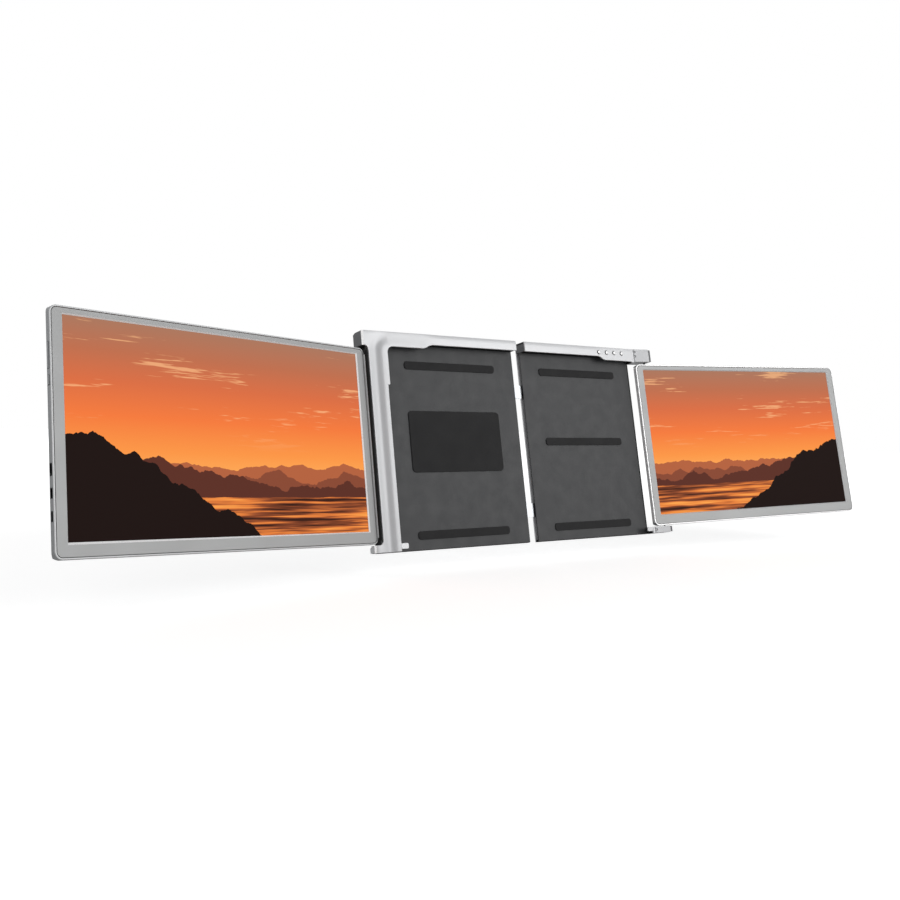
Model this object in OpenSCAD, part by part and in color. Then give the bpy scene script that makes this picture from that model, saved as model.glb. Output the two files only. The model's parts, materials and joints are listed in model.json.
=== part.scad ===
// Laptop screen extender: a telescoping frame that hangs on the upper edge of a
// host panel, with one hinged screen at each side.
//
// Frame coordinates: X to the right, Y to the back, Z up along the column. X = 0 is
// the column's outer wall, Y = 0 the front of the frame, Z = 0 the top of the bar.
// The finished part is moved so that its origin is the middle of the lid pad.

/* [Screens] */
// Width of the lit picture
active_w = 294.1; // [280:0.1:310]
// Height of the lit picture
active_h = 165.4; // [150:0.1:175]
// Width of the bezel at both sides of the picture
bezel_side = 10.3; // [10.2:0.1:16]
// Width of the bezel above the picture
bezel_top = 6.5; // [5:0.1:12]
// Width of the bezel below the picture
bezel_bottom = 12; // [8:0.1:18]
// Thickness of a screen
screen_t = 8.5; // [8:0.1:9]
// Depth of a screen's flat sides; its back is bevelled behind them
edge_t = 4.8; // [4.7:0.1:5.6]
// Radius of a screen's corners in front view
screen_r = 6; // [3:0.1:9]
// Wall of the rear cover round the bezel
cover_wall = 1.2; // [1:0.1:1.4]
// Floor of the rear cover
cover_floor = 1.4; // [1.2:0.1:1.8]
// Thickness of the front bezel
bezel_t = 1.2; // [0.8:0.1:1.6]
// Thickness of the display panel
panel_t = 2.6; // [2:0.1:3]

/* [Frame] */
// Height of the foot ears below the screens
foot_h = 6.9; // [6:0.1:9]
// Depth of the frame
frame_d = 16.5; // [16:0.1:20]
// Height of the bar and of the ears at its ends
bar_h = 14.5; // [13:0.1:16]
// How far the bar's lower edge steps up along its thin stretch
webcam_step = 4; // [2:0.1:4.5]
// Width of the column
column_w = 18.8; // [17:0.1:26]
// How far the upper ear stands out beside the column
ear_w = 6.2; // [6:0.1:12]
// How far the foot ear stands out beside the column
foot_ear_w = 9.8; // [6:0.1:12]
// Depth of the foot ear
foot_ear_d = 9; // [6:0.1:14]
// Length of the left half of the bar from the column's outer wall
left_half_w = 180.5; // [170:0.5:200]
// Length of the right half of the bar
right_half_w = 160; // [150:0.5:180]
// Gap between the two halves where the frame is set as photographed
joint_gap = 11.5; // [11.5:0.5:40]
// Wall of the frame's shells
shell_t = 1.8; // [1.6:0.1:2.2]
// Length of the bevel at an ear's end, along the bar
bevel_run = 1.5; // [1:0.1:2.4]
// Depth of the bevel at an ear's end
bevel_depth = 1.4; // [0.5:0.1:1.5]
// Thickness of the host panel that the frame takes
lid_t = 7.2; // [5:0.1:7.5]
// Height from the top of the frame down to the host panel's upper edge
lid_top = 10; // [9.4:0.1:10.2]
// Thickness of the rubber pads against the host panel
pad_t = 1; // [0.5:0.1:1.3]

/* [Slide] */
// Height of each of the two slide rails
rail_h = 14; // [10:0.5:20]
// Thickness of a slide rail
rail_t = 1.2; // [1:0.1:1.4]
// Length of a slide rail inside the right half as photographed
rail_reach = 108; // [100:1:120]
// Length of a slide rail inside the left half
rail_root = 120; // [100:1:130]
// Length of the guides that hold the rails
guide_l = 40; // [30:1:44]

/* [Hinges] */
// Rest angle of the left screen, forward of the frame's plane
left_angle = 13.4; // [0:0.1:40]
// Rest angle of the right link and screen, forward of the frame's plane
right_angle = 7.9; // [0:0.1:40]
// Radius of every hinge pin
pin_r = 0.9; // [0.7:0.05:0.95]
// Wall of the boss round each of the left screen's hinge pins
boss_wall = 0.6; // [0.4:0.05:0.8]
// Radius of the left screen's hinge spine
spine_r = 1.6; // [1.5:0.05:1.6]
// Depth of the right screen's pins behind its front
pivot_depth = 5.1; // [5:0.05:5.4]
// Gap between the two screens where both are folded over the frame
stack_gap = 0.7; // [0.4:0.1:3]
// Thickness of the lugs that carry the right link
lug_t = 1.4; // [1:0.1:1.8]

/* [Controls] */
// Radius of the four round buttons
button_r = 2.1; // [1.5:0.1:2.4]
// Distance between neighbouring buttons
button_pitch = 11.6; // [8:0.1:14]
// How far a button stands out
button_proud = 0.8; // [0.6:0.1:1.2]
// Length of the rocker on the left screen's free edge
rocker_l = 19.5; // [15:0.5:25]
// Length of the small key beside the rocker
key_l = 7; // [5:0.5:9]

/* [Stand] */
// Width of the rear stand
stand_w = 96; // [80:1:110]
// Length of the rear stand
stand_l = 118; // [90:1:120]
// Thickness of the rear stand
stand_t = 2.6; // [2:0.1:3]
// Radius of the rear stand's barrel
barrel_r = 2.6; // [2.4:0.1:3]

/* [Hidden] */

$fn = 48;
fit = 0.05;        // radial clearance of a pin that turns in its bore
gap = 0.3;         // clearance between pieces that move past each other
fold_gap = 0.4;    // clearance between faces that fold together
seam = 0.2;        // visible joint between two fixed pieces
recess = 0.1;      // how far a fixed piece sits below its neighbour's face
bezel_seam = 0.6;  // groove round a screen's bezel
eps = 0.01;        // overcut
past = 1;          // how far a cut runs past the face that it opens

silver = "#CFD0D2";
bezel_grey = "#AFB1B1";
dark_grey = "#5C5D5F";
black = "#151617";
steel = "#9A9C9F";
board_green = "#1F5B3A";
gold = "#C8A24A";
dusk = "#7A3E22";

// Heights of the screens and of the frame
casing_w = active_w + 2 * bezel_side;
casing_h = active_h + bezel_top + bezel_bottom;
ear_clear = 2.7;                               // from the ear's underside to a screen
screen_top = -(bar_h + ear_clear);
screen_bottom = screen_top - casing_h;
foot_gap = 1;                                  // from a screen down to the foot ear
foot_top = screen_bottom - foot_gap;
frame_h = foot_h - foot_top;
ear_spans = [[-bar_h, 0], [-frame_h, foot_top]];
bar_foot = -bar_h + webcam_step;               // lower edge of the bar's thin stretch
end_lip = 1;                                   // how far the right ear's corner drops
rim = 2.4;                                     // width of the frame's inner edges

// Layers from front to back
lid_front = shell_t + 0.4;
lid_back = lid_front + lid_t;
plate_front = lid_back + pad_t;
plate_back = plate_front + 1.2;
rear_front = frame_d - 1.5;                    // inner face of the rear shells
rail_y = (plate_back + rear_front) / 2;
rail_front = rail_y - rail_t / 2;
rail_back = rail_y + rail_t / 2;
rail_insets = [52, 33];                        // from the frame's top and foot
rail_zs = [-rail_insets[0], -frame_h + rail_insets[1]];
stop_t = 0.8;                                  // strip that the host panel's edge meets
stop_top = -lid_top + stop_t;

// Screws
screw_r = 0.8;
head_r = 1.7;
head_t = 0.8;
drive_w = 2.4;                                 // cross slot in a screw's head
drive_t = 0.4;
screw_boss_r = 2.3;

// Left hinge: its axis lies in front of the screen, so that the screen folds flat
// over the frame with one gap between them
left_axis = [-spine_r - gap, spine_r + gap];
leaf_t = 0.9;                                  // leaf between the spine and the screen
left_front = 2 * left_axis[1] + fold_gap;      // depth of the screen's front, opened flat
boss_r = pin_r + boss_wall;
pin_seat = 12;                                 // length of a pin inside the spine
upper_pin_l = 8.5;                             // length of a pin inside an upper ear
foot_pin_l = 5;                                // and inside a foot ear
pin_play = 0.5;                                // free depth of a bore past its pin

// Right hinges: a link turns at the end of the bar, and the screen turns in the link
right_start = left_half_w + joint_gap;
right_end = right_start + right_half_w;
knuckle_r = 2.5;
right_axis = [right_end + fold_gap + knuckle_r, knuckle_r];
link_front = -knuckle_r;                       // link coordinates start at its first pin
link_back = frame_d - knuckle_r;
right_front = -0.9;                            // the screen's front, in link coordinates
right_edge = 0.5;                              // the screen's hinge edge in link coordinates
pivot_y = right_front + pivot_depth;
// long enough for the right screen to fold over the left one
link_l = right_axis[1] + pivot_depth + fold_gap + screen_t + stack_gap;
link_w = link_l + 2.2;                         // flat part of a link's front
pivot_x = link_l - right_edge;                 // the pins' distance from the screen's edge
link_wall = 0.8;                               // cover over the ends of the link's pins
cap_t = 2.5;                                   // dark cap at a link's end
side_t = 2.5;                                  // wall at the right half's end
block_w = 16;                                  // block that holds the upper lugs
lug_r = knuckle_r - 0.3;
lug_front = shell_t + 0.2;
lug_zs = [-2.3, -7.4];                         // tops of the upper link's lugs
foot_lug_zs = [foot_top - 2.6];
upper_lug_l = block_w - 4;
pivot_block_l = 14;
pivot_block_w = 8;

// Controls
button_z = -6.1;
button_x0 = right_end - block_w - 2.7 - 3 * button_pitch;
button_depth = 3.4;                            // depth of a button's inner end
button_travel = 0.5;
collar_w = 0.6;                                // flange that keeps a button in
collar_y = shell_t + 0.6;
collar_t = 0.8;
board_y = button_depth + button_travel + 1.3;
button_board_t = 1;
switch_r = 1.2;
key_t = 2.2;
key_proud = 0.5;
key_play = 0.4;                                // free travel behind the casing's wall
flange_t = 0.7;
flange_lip = 0.8;
edge_y = 2.9;                                  // depth of the controls and sockets behind a front
rocker_drop = 37.7;                            // from a screen's top to the rocker's middle
key_gap = 5;
key_drop = rocker_drop + rocker_l / 2 + key_gap + key_l / 2;
rocker_switch = 6;                             // a switch's distance from the rocker's middle
port_rises = [63.7, 46.9, 30.5];               // from a screen's foot to the sockets' middles
port_drops = [casing_h - port_rises[0], casing_h - port_rises[1], casing_h - port_rises[2]];
port_ls = [8.9, 7.4, 7.4];
port_ts = [3.2, 3.2, 2.6];
port_wall = 0.5;
port_l = 6;                                    // depth of a socket behind the wall
port_foot = 2;                                 // foot that joins it to the board
board_back = screen_t - cover_floor - recess;
can_t = 1.4;                                   // shielding can on a board
can_place = [16, 24];                          // from the board's lower corner
can_size = [22, 50];
board_front = bezel_t + panel_t + recess + can_t;
board_w = 45;
board_margins = [19, 16];                      // from the casing's top and bottom

// Seat of the part's origin, in the middle of the large pad
seat_x = 100;
seat_z = -105;
seat_w = 110;
seat_h = 60;
strip_h = 8;                                   // height of the narrow pads
strip_insets = [30, 14];                       // from the frame's top and foot
strip_zs = [-strip_insets[0], -frame_h + strip_insets[1]];
right_pad_inset = 24;

// Stand
stand_x = 34;
stand_top = -72;
stand_y = frame_d + barrel_r + gap;
stand_front = stand_y - barrel_r;
bracket_w = 8;

// ---- building blocks ----

module to_origin() translate([-seat_x, -lid_back, -seat_z]) children();

// A box from its lowest and highest corners
module span(low, high) translate(low) cube(high - low);

// A plate in the XZ plane from depth y0 to y1
module plate_xz(y0, y1) translate([0, y1, 0]) rotate([90, 0, 0]) linear_extrude(y1 - y0) children();

// A plate in the XY plane from height z0 to z1
module plate_xy(z0, z1) translate([0, 0, z0]) linear_extrude(z1 - z0) children();

// A rectangle with round corners, from its lowest corner
module round_rect(w, h, r) {
    translate([r, 0]) square([w - 2 * r, h]);
    translate([0, r]) square([w, h - 2 * r]);
    for (x = [r, w - r], y = [r, h - r]) translate([x, y]) circle(r);
}

// Rods along X, Y and Z
module rod_x(y, z, x0, x1, r) translate([x0, y, z]) rotate([0, 90, 0]) cylinder(h = x1 - x0, r = r);
module rod_y(x, z, y0, y1, r) translate([x, y1, z]) rotate([90, 0, 0]) cylinder(h = y1 - y0, r = r);
module rod(x, y, z0, z1, r) translate([x, y, z0]) cylinder(h = z1 - z0, r = r);

// A screw along Y: its head's face is at depth y, and it reaches l further forward
module screw(x, z, y, l) {
    difference() {
        rod_y(x, z, y - head_t, y, head_r);
        for (slot = [[drive_w, drive_t], [drive_t, drive_w]])
            translate([x - slot[0] / 2, y - drive_t, z - slot[1] / 2]) cube([slot[0], drive_t + eps, slot[1]]);
    }
    rod_y(x, z, y - head_t - l, y - head_t + eps, screw_r);
}

// The hole that such a screw sits in
module screw_hole(x, z, y, l) {
    rod_y(x, z, y - head_t, y + past, head_r);
    rod_y(x, z, y - head_t - l, y, screw_r);
}

// The left screen is drawn opened flat and turned about its axis
module left_turn() translate([left_axis[0], left_axis[1], 0]) rotate([0, 0, left_angle]) children();

// The right link and screen are drawn flat and turned about the link's axis
module right_turn() translate([right_axis[0], right_axis[1], 0]) rotate([0, 0, -right_angle]) children();

// Places a screen drawn with its hinge edge at x = 0, reaching to the left
module left_screen_place() left_turn()
    translate([-leaf_t, left_front - left_axis[1], screen_top]) children();
module right_screen_place() right_turn()
    translate([right_edge, right_front, screen_top]) mirror([1, 0, 0]) children();

// ---- outlines of the frame in front view ----

fillet = 6;                                    // inner corner below the bar
notch_r = 4.5;                                 // ends of the bay beside the column
corner_lip_w = 2.2;
corner_lip_h = 52;
left_lip_x = 65;                               // where the lip steps up to the bar's thin stretch
right_lip_l = 53;
right_lip_x = right_end - right_lip_l;         // where it comes down again
step_run = 6.5;
ear_ws = [ear_w, foot_ear_w];                  // the upper ear and the foot's
ear_xs = [for (w = ear_ws) -w + bevel_run];    // where an ear's bevel begins
ear_ds = [frame_d, foot_ear_d];

module left_outline() difference() {
    union() {
        polygon([[ear_xs[0], 0], [left_half_w, 0], [left_half_w, bar_foot],
                 [left_lip_x + step_run, bar_foot], [left_lip_x, -bar_h], [ear_xs[0], -bar_h]]);
        translate([0, -frame_h]) square([column_w, frame_h]);
        translate([ear_xs[1], -frame_h]) square([foot_ear_w, foot_h]);
        // the lip in the inner corner, with its fillet
        translate([column_w - eps, -corner_lip_h]) square([corner_lip_w + eps, corner_lip_h]);
        translate([column_w, -bar_h - fillet]) square([corner_lip_w + fillet, fillet + eps]);
        // fillets at the two ends of the bay
        translate([-notch_r, -bar_h - notch_r]) square([notch_r + eps, notch_r + eps]);
        translate([-notch_r, foot_top - eps]) square([notch_r + eps, notch_r + eps]);
    }
    translate([column_w + corner_lip_w + fillet, -bar_h - fillet]) circle(fillet);
    translate([-notch_r, -bar_h - notch_r]) circle(notch_r);
    translate([-notch_r, foot_top + notch_r]) circle(notch_r);
}

module right_outline()
    polygon([[right_start, 0], [right_end, 0], [right_end, -bar_h - end_lip],
             [right_end - rim, -bar_h - end_lip], [right_end - rim - 1.6, -bar_h],
             [right_lip_x + step_run, -bar_h], [right_lip_x, bar_foot], [right_start, bar_foot]]);

// The bevelled end of an ear, from height z0 to z1, starting at x = 0 towards -X
module ear_bevel(z0, z1) plate_xy(z0, z1)
    polygon([[eps, 0], [0, 0], [-bevel_run, bevel_depth], [-bevel_run, shell_t], [eps, shell_t]]);

// ---- left half of the frame ----

valley_x = column_w - 8;                       // the shallow valley down the column
valley_r = 9;
valley_depth = 0.7;
valley_top = -bar_h - 4;
hollow_x = shell_t + 2.4;                      // hollow of the column
hollow_foot = -frame_h + 4;
ribbon_t = 0.3;
ribbon_y = 8;
ribbon_x = [column_w - 13.5, column_w - 3.5];
ribbon_z = [-7, -4];

// The cap that closes the bar's end at the joint, from x
module joint_cap(x) span([x, 1.2, -lid_top], [x + shell_t, frame_d - 0.4, 0]);

module left_front_shell() color(silver) difference() {
    union() {
        plate_xz(0, shell_t) left_outline();
        span([ear_xs[0], shell_t - eps, -shell_t], [left_half_w, rear_front, 0]);
        for (i = [0, 1]) translate([ear_xs[i], 0, 0]) ear_bevel(ear_spans[i][0], ear_spans[i][1]);
    }
    rod(valley_x, valley_depth - valley_r, -frame_h - past, valley_top, valley_r);
    translate([valley_x, valley_depth - valley_r, valley_top]) sphere(valley_r);
    // room for the bosses of the two hinge pins
    rod(left_axis[0], left_axis[1], -bar_h - notch_r - past, -shell_t, boss_r + eps);
    rod(left_axis[0], left_axis[1], -frame_h - past, foot_top + notch_r + past, boss_r + eps);
    joint_cap(left_half_w - shell_t);
}

module left_mid_frame() color(black) difference() {
    union() {
        // column
        span([0, shell_t, -frame_h], [column_w, rear_front, -shell_t - eps]);
        // ears
        span([ear_xs[0], shell_t, -bar_h], [eps, rear_front, -shell_t]);
        span([ear_xs[1], shell_t, -frame_h], [eps, foot_ear_d, foot_top]);
        // the strip along the bar that the host panel's edge meets
        span([column_w - eps, shell_t, -lid_top], [left_half_w - shell_t, rear_front, stop_top]);
        // the lower edge behind the host panel
        span([column_w - eps, plate_back, -frame_h], [left_half_w, rear_front, -frame_h + rim]);
        rod(left_axis[0], left_axis[1], -bar_h, -shell_t - eps, boss_r);
        rod(left_axis[0], left_axis[1], -frame_h, foot_top, boss_r);
    }
    // hollow of the column, and the ribbon's way out of it into the bar
    span([hollow_x, shell_t - eps, hollow_foot], [column_w - shell_t, rear_front + eps, -lid_top + 2]);
    span([hollow_x, ribbon_y - 2, stop_top], [column_w + past, ribbon_y + 3, ribbon_z[1] + 1.2]);
    // bores for the left screen's hinge pins
    rod(left_axis[0], left_axis[1], -bar_h - past, -bar_h + upper_pin_l + pin_play, pin_r + fit);
    rod(left_axis[0], left_axis[1], foot_top - foot_pin_l - pin_play, foot_top + past, pin_r + fit);
}

module left_rear_shell() color(silver) difference() {
    plate_xz(rear_front, frame_d) {
        translate([ear_xs[0], -bar_h]) square([ear_w, bar_h]);
        translate([0, -frame_h]) square([left_half_w, frame_h]);
    }
    joint_cap(left_half_w - shell_t);
}

rail_screw_insets = [20, 90];                  // from the left half's end
rail_screw_xs = [left_half_w - rail_screw_insets[0], left_half_w - rail_screw_insets[1]];
rail_screw_l = rail_t + 1.2;

module rail_screws() for (x = rail_screw_xs, z = rail_zs) screw(x, z, rail_back + head_t, rail_screw_l);
module rail_screw_bores() for (x = rail_screw_xs, z = rail_zs)
    rod_y(x, z, rail_back - rail_screw_l, rail_back + past, screw_r);

plate_foot = -frame_h + 0.4;

module left_lid_plate() color(dark_grey) difference() {
    union() {
        span([column_w, plate_front, plate_foot], [left_half_w, plate_back, -lid_top]);
        // seats that the rails are screwed to
        for (z = rail_zs)
            span([left_half_w - rail_root, plate_back - eps, z - rail_h / 2],
                 [left_half_w - shell_t, rail_front, z + rail_h / 2]);
    }
    rail_screw_bores();
}

// A cap that closes an ear of depth d; its rear upper corner is drawn down
cap_drop = 1.6;
cap_slope = 4;
module ear_cap(z0, z1, d) rotate([90, 0, -90]) linear_extrude(bevel_run)
    polygon([[-shell_t, z0], [-d, z0], [-d, z1 - cap_drop], [cap_slope - d, z1], [-shell_t, z1]]);

module left_ear_caps() color(dark_grey) for (i = [0, 1])
    translate([ear_xs[i], 0, 0]) ear_cap(ear_spans[i][0] + gap, ear_spans[i][1] - gap, ear_ds[i]);

module left_joint_cap() color(dark_grey) joint_cap(left_half_w - shell_t);

module slide_rails() color(steel) difference() {
    for (z = rail_zs) span([left_half_w - rail_root, rail_front, z - rail_h / 2],
                           [right_start + rail_reach, rail_back, z + rail_h / 2]);
    rail_screw_bores();
}

// A rubber pad on the lid plate, from its lower left corner
module lid_pad(x, z, h, r) plate_xz(lid_back, plate_front) translate([x, z]) round_rect(seat_w, h, r);

module left_lid_pads() color(black) {
    lid_pad(seat_x - seat_w / 2, seat_z - seat_h / 2, seat_h, 4);
    for (z = strip_zs) lid_pad(seat_x - seat_w / 2, z - strip_h / 2, strip_h, 3);
}

clip_h = 5;
clip_top = foot_top + 0.5;
clip_y = 0.36;                                 // a clip sits back from the frame's front
left_clip_w = 7.8;
right_clip_w = 8.5;
clip_stem_t = 0.8;

module left_bottom_clip() color(silver) {
    // plate that turns in over the host panel's rim, on a stem at the column's wall
    plate_xz(clip_y, shell_t) translate([column_w, clip_top - clip_h]) round_rect(left_clip_w, clip_h, 1);
    span([column_w, shell_t - eps, clip_top - clip_h], [column_w + clip_stem_t, plate_front, clip_top]);
}

// Flat ribbon from the foot of the column up and along the bar
module signal_ribbon() color(gold) {
    span([ribbon_x[0], ribbon_y, hollow_foot], [ribbon_x[1], ribbon_y + ribbon_t, ribbon_z[1]]);
    span([ribbon_x[1] - eps, ribbon_y, ribbon_z[0]],
         [left_half_w - shell_t, ribbon_y + ribbon_t, ribbon_z[1]]);
}

module left_frame_screws() color(steel) rail_screws();

// ---- stand ----

bracket_h = 10;
pad_w = 18;
pad_h = 6;
pad_inset = 12;
foot_pad_t = 0.8;

module stand_brackets() color(dark_grey)
    for (x = [stand_x - bracket_w - gap, stand_x + stand_w + gap]) difference() {
        union() {
            span([x, frame_d, stand_top - bracket_h / 2], [x + bracket_w, stand_y, stand_top + bracket_h / 2]);
            rod_x(stand_y, stand_top, x, x + bracket_w, barrel_r);
        }
        rod_x(stand_y, stand_top, x - past, x + bracket_w + past, pin_r);
    }

module rear_stand() color(silver) difference() {
    union() {
        rod_x(stand_y, stand_top, stand_x, stand_x + stand_w, barrel_r);
        plate_xz(stand_front, stand_front + stand_t) translate([stand_x, stand_top - stand_l]) {
            round_rect(stand_w, stand_l, 8);
            translate([0, stand_l - 10]) square([stand_w, 10]);
        }
    }
    rod_x(stand_y, stand_top, stand_x - past, stand_x + stand_w + past, pin_r + fit);
}

module stand_pin() color(steel)
    rod_x(stand_y, stand_top, stand_x - bracket_w - gap, stand_x + stand_w + gap + bracket_w, pin_r);

module stand_foot_pad() color(black) for (x = [stand_x + pad_inset, stand_x + stand_w - pad_inset - pad_w])
    plate_xz(stand_front + stand_t, stand_front + stand_t + foot_pad_t)
        translate([x, stand_top - stand_l + 3]) round_rect(pad_w, pad_h, 2);

// ---- right half of the frame ----

right_screw_insets = [60, 30];                 // from the right half's two ends
right_screw_xs = [right_start + right_screw_insets[0], right_end - right_screw_insets[1]];
right_screw_zs = [-30, -140];
right_screw_l = 2.6;

module right_front_shell() color(silver) difference() {
    union() {
        plate_xz(0, shell_t) right_outline();
        span([right_start, shell_t - eps, -shell_t], [right_end, rear_front, 0]);
    }
    joint_cap(right_start);
    for (i = [0:3]) rod_y(button_x0 + i * button_pitch, button_z, -past, shell_t + past, button_r + gap);
}

module right_mid_frame() color(black) difference() {
    union() {
        // strip that the host panel's edge meets
        span([right_start + shell_t, shell_t, -lid_top], [right_end - block_w + eps, rear_front, stop_top]);
        // block at the bar's end that holds the upper lugs
        span([right_end - block_w, shell_t, -lid_top], [right_end, rear_front, -shell_t]);
        // wall beside the host panel's corner
        span([right_end - side_t, shell_t, -bar_h - end_lip], [right_end, rear_front, -lid_top + eps]);
        // edges behind the host panel
        span([right_end - side_t, plate_back, -frame_h], [right_end, rear_front, -bar_h]);
        span([right_start, plate_back, -frame_h], [right_end, rear_front, -frame_h + rim]);
        // foot beside the host panel that holds the lower lug
        span([right_end - side_t, shell_t, -frame_h], [right_end, rear_front, foot_top]);
    }
    lug_slots(lug_zs, upper_lug_l);
    lug_slots(foot_lug_zs, side_t);
}

module lug_slots(zs, l) for (z = zs)
    span([right_end - l, lug_front, z - lug_t], [right_end + past, right_axis[1] + lug_r, z]);

module lug_plates(zs, l) for (z = zs) difference() {
    union() {
        span([right_end - l, lug_front, z - lug_t], [right_axis[0], right_axis[1] + lug_r, z]);
        rod(right_axis[0], right_axis[1], z - lug_t, z, lug_r);
    }
    rod(right_axis[0], right_axis[1], z - lug_t - past, z + past, pin_r + fit);
}

module link_lugs() color(steel) {
    lug_plates(lug_zs, upper_lug_l);
    lug_plates(foot_lug_zs, side_t);
}

module right_screw_spots() for (x = right_screw_xs, z = right_screw_zs) translate([x, 0, z]) children();

module right_rear_shell() color(silver) difference() {
    plate_xz(rear_front, frame_d) translate([right_start, -frame_h]) square([right_half_w, frame_h]);
    joint_cap(right_start);
    right_screw_spots() screw_hole(0, 0, frame_d, right_screw_l);
}

module right_lid_plate() color(dark_grey) difference() {
    union() {
        span([right_start, plate_front, plate_foot], [right_end - side_t, plate_back, -lid_top]);
        // bosses that the rear shell is screwed to
        right_screw_spots() rod_y(0, 0, plate_back - eps, rear_front, screw_boss_r);
    }
    right_screw_spots() screw_hole(0, 0, frame_d, right_screw_l);
}

module right_joint_cap() color(dark_grey) joint_cap(right_start);

guide_x = right_start + 4;
guide_lip = 3;
module rail_guides() color(black) for (z = rail_zs) difference() {
    span([guide_x, plate_back, z - rail_h / 2 - guide_lip],
         [guide_x + guide_l, rear_front, z + rail_h / 2 + guide_lip]);
    span([guide_x - past, rail_front - gap, z - rail_h / 2 - gap],
         [guide_x + guide_l + past, rail_back + gap, z + rail_h / 2 + gap]);
}

module right_lid_pads() color(black) for (z = [strip_zs[0], seat_z, strip_zs[1]])
    lid_pad(right_start + right_pad_inset, z - strip_h / 2, strip_h, 3);

module right_bottom_clip() color(silver) {
    plate_xz(clip_y, shell_t) translate([right_end - side_t - right_clip_w + 0.5, clip_top - clip_h])
        round_rect(right_clip_w, clip_h - 0.5, 1);
    // front of the foot
    span([right_end - side_t, 0, -frame_h], [right_end, shell_t, foot_top]);
}

module button_board() color(board_green) {
    span([button_x0 - 6, board_y, stop_top],
         [button_x0 + 3 * button_pitch + button_r, board_y + button_board_t, -shell_t]);
    // a switch behind each button
    for (i = [0:3]) rod_y(button_x0 + i * button_pitch, button_z,
                          button_depth + button_travel + recess, board_y + eps, switch_r);
}

module right_frame_screws() color(steel) right_screw_spots() screw(0, 0, frame_d, right_screw_l);

module button(i) color(silver) {
    x = button_x0 + i * button_pitch;
    rod_y(x, button_z, -button_proud, button_depth, button_r);
    rod_y(x, button_z, collar_y, collar_y + collar_t, button_r + collar_w);
}
module button_1() button(0);
module button_2() button(1);
module button_3() button(2);
module button_4() button(3);

// ---- right link ----

module link_block(z0, z1) {
    rod(0, 0, z0, z1, knuckle_r);
    plate_xy(z0, z1)
        polygon([[0, link_front], [link_w, link_front], [link_w + bevel_run, link_front + bevel_depth],
                 [link_w + bevel_run, link_back], [0, link_back]]);
}

module link_bearings(zs) for (z = zs) rod(0, 0, z - lug_t - gap, z + gap, knuckle_r + gap);

module link_pin(z) rod(0, 0, z[0] + link_wall, z[1] - link_wall, pin_r);

module upper_link() color(silver) right_turn() difference() {
    link_block(-bar_h, 0);
    link_bearings(lug_zs);
    link_pin(ear_spans[0]);
    rod(link_l, pivot_y, -bar_h - past, -bar_h + upper_pin_l + pin_play, pin_r + fit);
}

module lower_link() color(silver) right_turn() difference() {
    link_block(-frame_h, foot_top);
    link_bearings(foot_lug_zs);
    link_pin(ear_spans[1]);
    rod(link_l, pivot_y, foot_top - foot_pin_l - pin_play, foot_top + past, pin_r + fit);
}

module link_end_caps() color(dark_grey) right_turn() for (z = ear_spans)
    span([link_w + bevel_run, link_front + bevel_depth, z[0] + 0.4],
         [link_w + bevel_run + cap_t, link_back - 0.4, z[1] - 0.4]);

module link_pins() color(steel) right_turn() for (z = ear_spans) link_pin(z);

// ---- screens: drawn with the hinge edge at x = 0, the body towards -X,
//      the front at y = 0 and the top at z = 0 ----

screen_screw_inset = [7.2, 10];                // from a screen's side and from its top or foot
screen_screw_l = 3;
inner_back = screen_t - cover_floor;           // inner face of the rear cover
shallow_back = edge_t - seam;                  // and of its rim, inside the bevel
deep_inset = cover_wall + inner_back - shallow_back;
back_bevel = screen_t - edge_t;
wall_x = -casing_w + cover_wall;               // inner face of the free edge's wall
panel_lip = 0.7;                               // how far a panel reaches behind the bezel
switch_x = wall_x + 1.9;                       // face of the edge's switches
switch_t = 3.1;

module screen_outline(inset) translate([-casing_w + inset, -casing_h + inset])
    round_rect(casing_w - 2 * inset, casing_h - 2 * inset, screen_r - inset);

module active_area(grow) translate([-casing_w + bezel_side - grow, -bezel_top - active_h - grow])
    square([active_w + 2 * grow, active_h + 2 * grow]);

// A cut through the free edge's wall, l long and t deep, with its middle at depth y
module edge_cut(drop, l, y, t)
    translate([-casing_w - past, y - t / 2, -drop - l / 2]) cube([cover_wall + 1.5 * past, t, l]);

module screen_screw_spots() for (x = [-casing_w + screen_screw_inset[0], -screen_screw_inset[0]],
                                 z = [-screen_screw_inset[1], -casing_h + screen_screw_inset[1]])
    translate([x, 0, z]) children();

// A wedge that bevels the back along an edge at x = 0, from z = 0 down, l long
module back_wedge(l) plate_xy(-l - past, past)
    polygon([[past, edge_t - past], [past, screen_t + past], [-back_bevel - past, screen_t + past]]);

module back_wedges() {
    back_wedge(casing_h);
    translate([-casing_w, 0, 0]) mirror([1, 0, 0]) back_wedge(casing_h);
    translate([-casing_w, 0, 0]) rotate([0, -90, 0]) back_wedge(casing_w);
    translate([-casing_w, 0, -casing_h]) mirror([0, 0, 1]) rotate([0, -90, 0]) back_wedge(casing_w);
}

module screen_cover() difference() {
    plate_xz(0, screen_t) screen_outline(0);
    plate_xz(-past, shallow_back) screen_outline(cover_wall);
    plate_xz(0, inner_back) screen_outline(deep_inset);
    back_wedges();
    for (i = [0:2]) edge_cut(port_drops[i], port_ls[i] + 2 * seam, edge_y, port_ts[i] + 2 * seam);
    screen_screw_spots() screw_hole(0, 0, screen_t, screen_screw_l);
}

module screen_bezel() difference() {
    union() {
        plate_xz(recess, bezel_t) screen_outline(cover_wall + bezel_seam);
        // posts that the rear cover is screwed to
        screen_screw_spots() rod_y(0, 0, bezel_t - eps, inner_back, screw_boss_r);
    }
    plate_xz(-past, bezel_t + past) active_area(0);
    screen_screw_spots() screw_hole(0, 0, screen_t, screen_screw_l);
}

module display_panel() plate_xz(bezel_t, bezel_t + panel_t) active_area(panel_lip);

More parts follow.
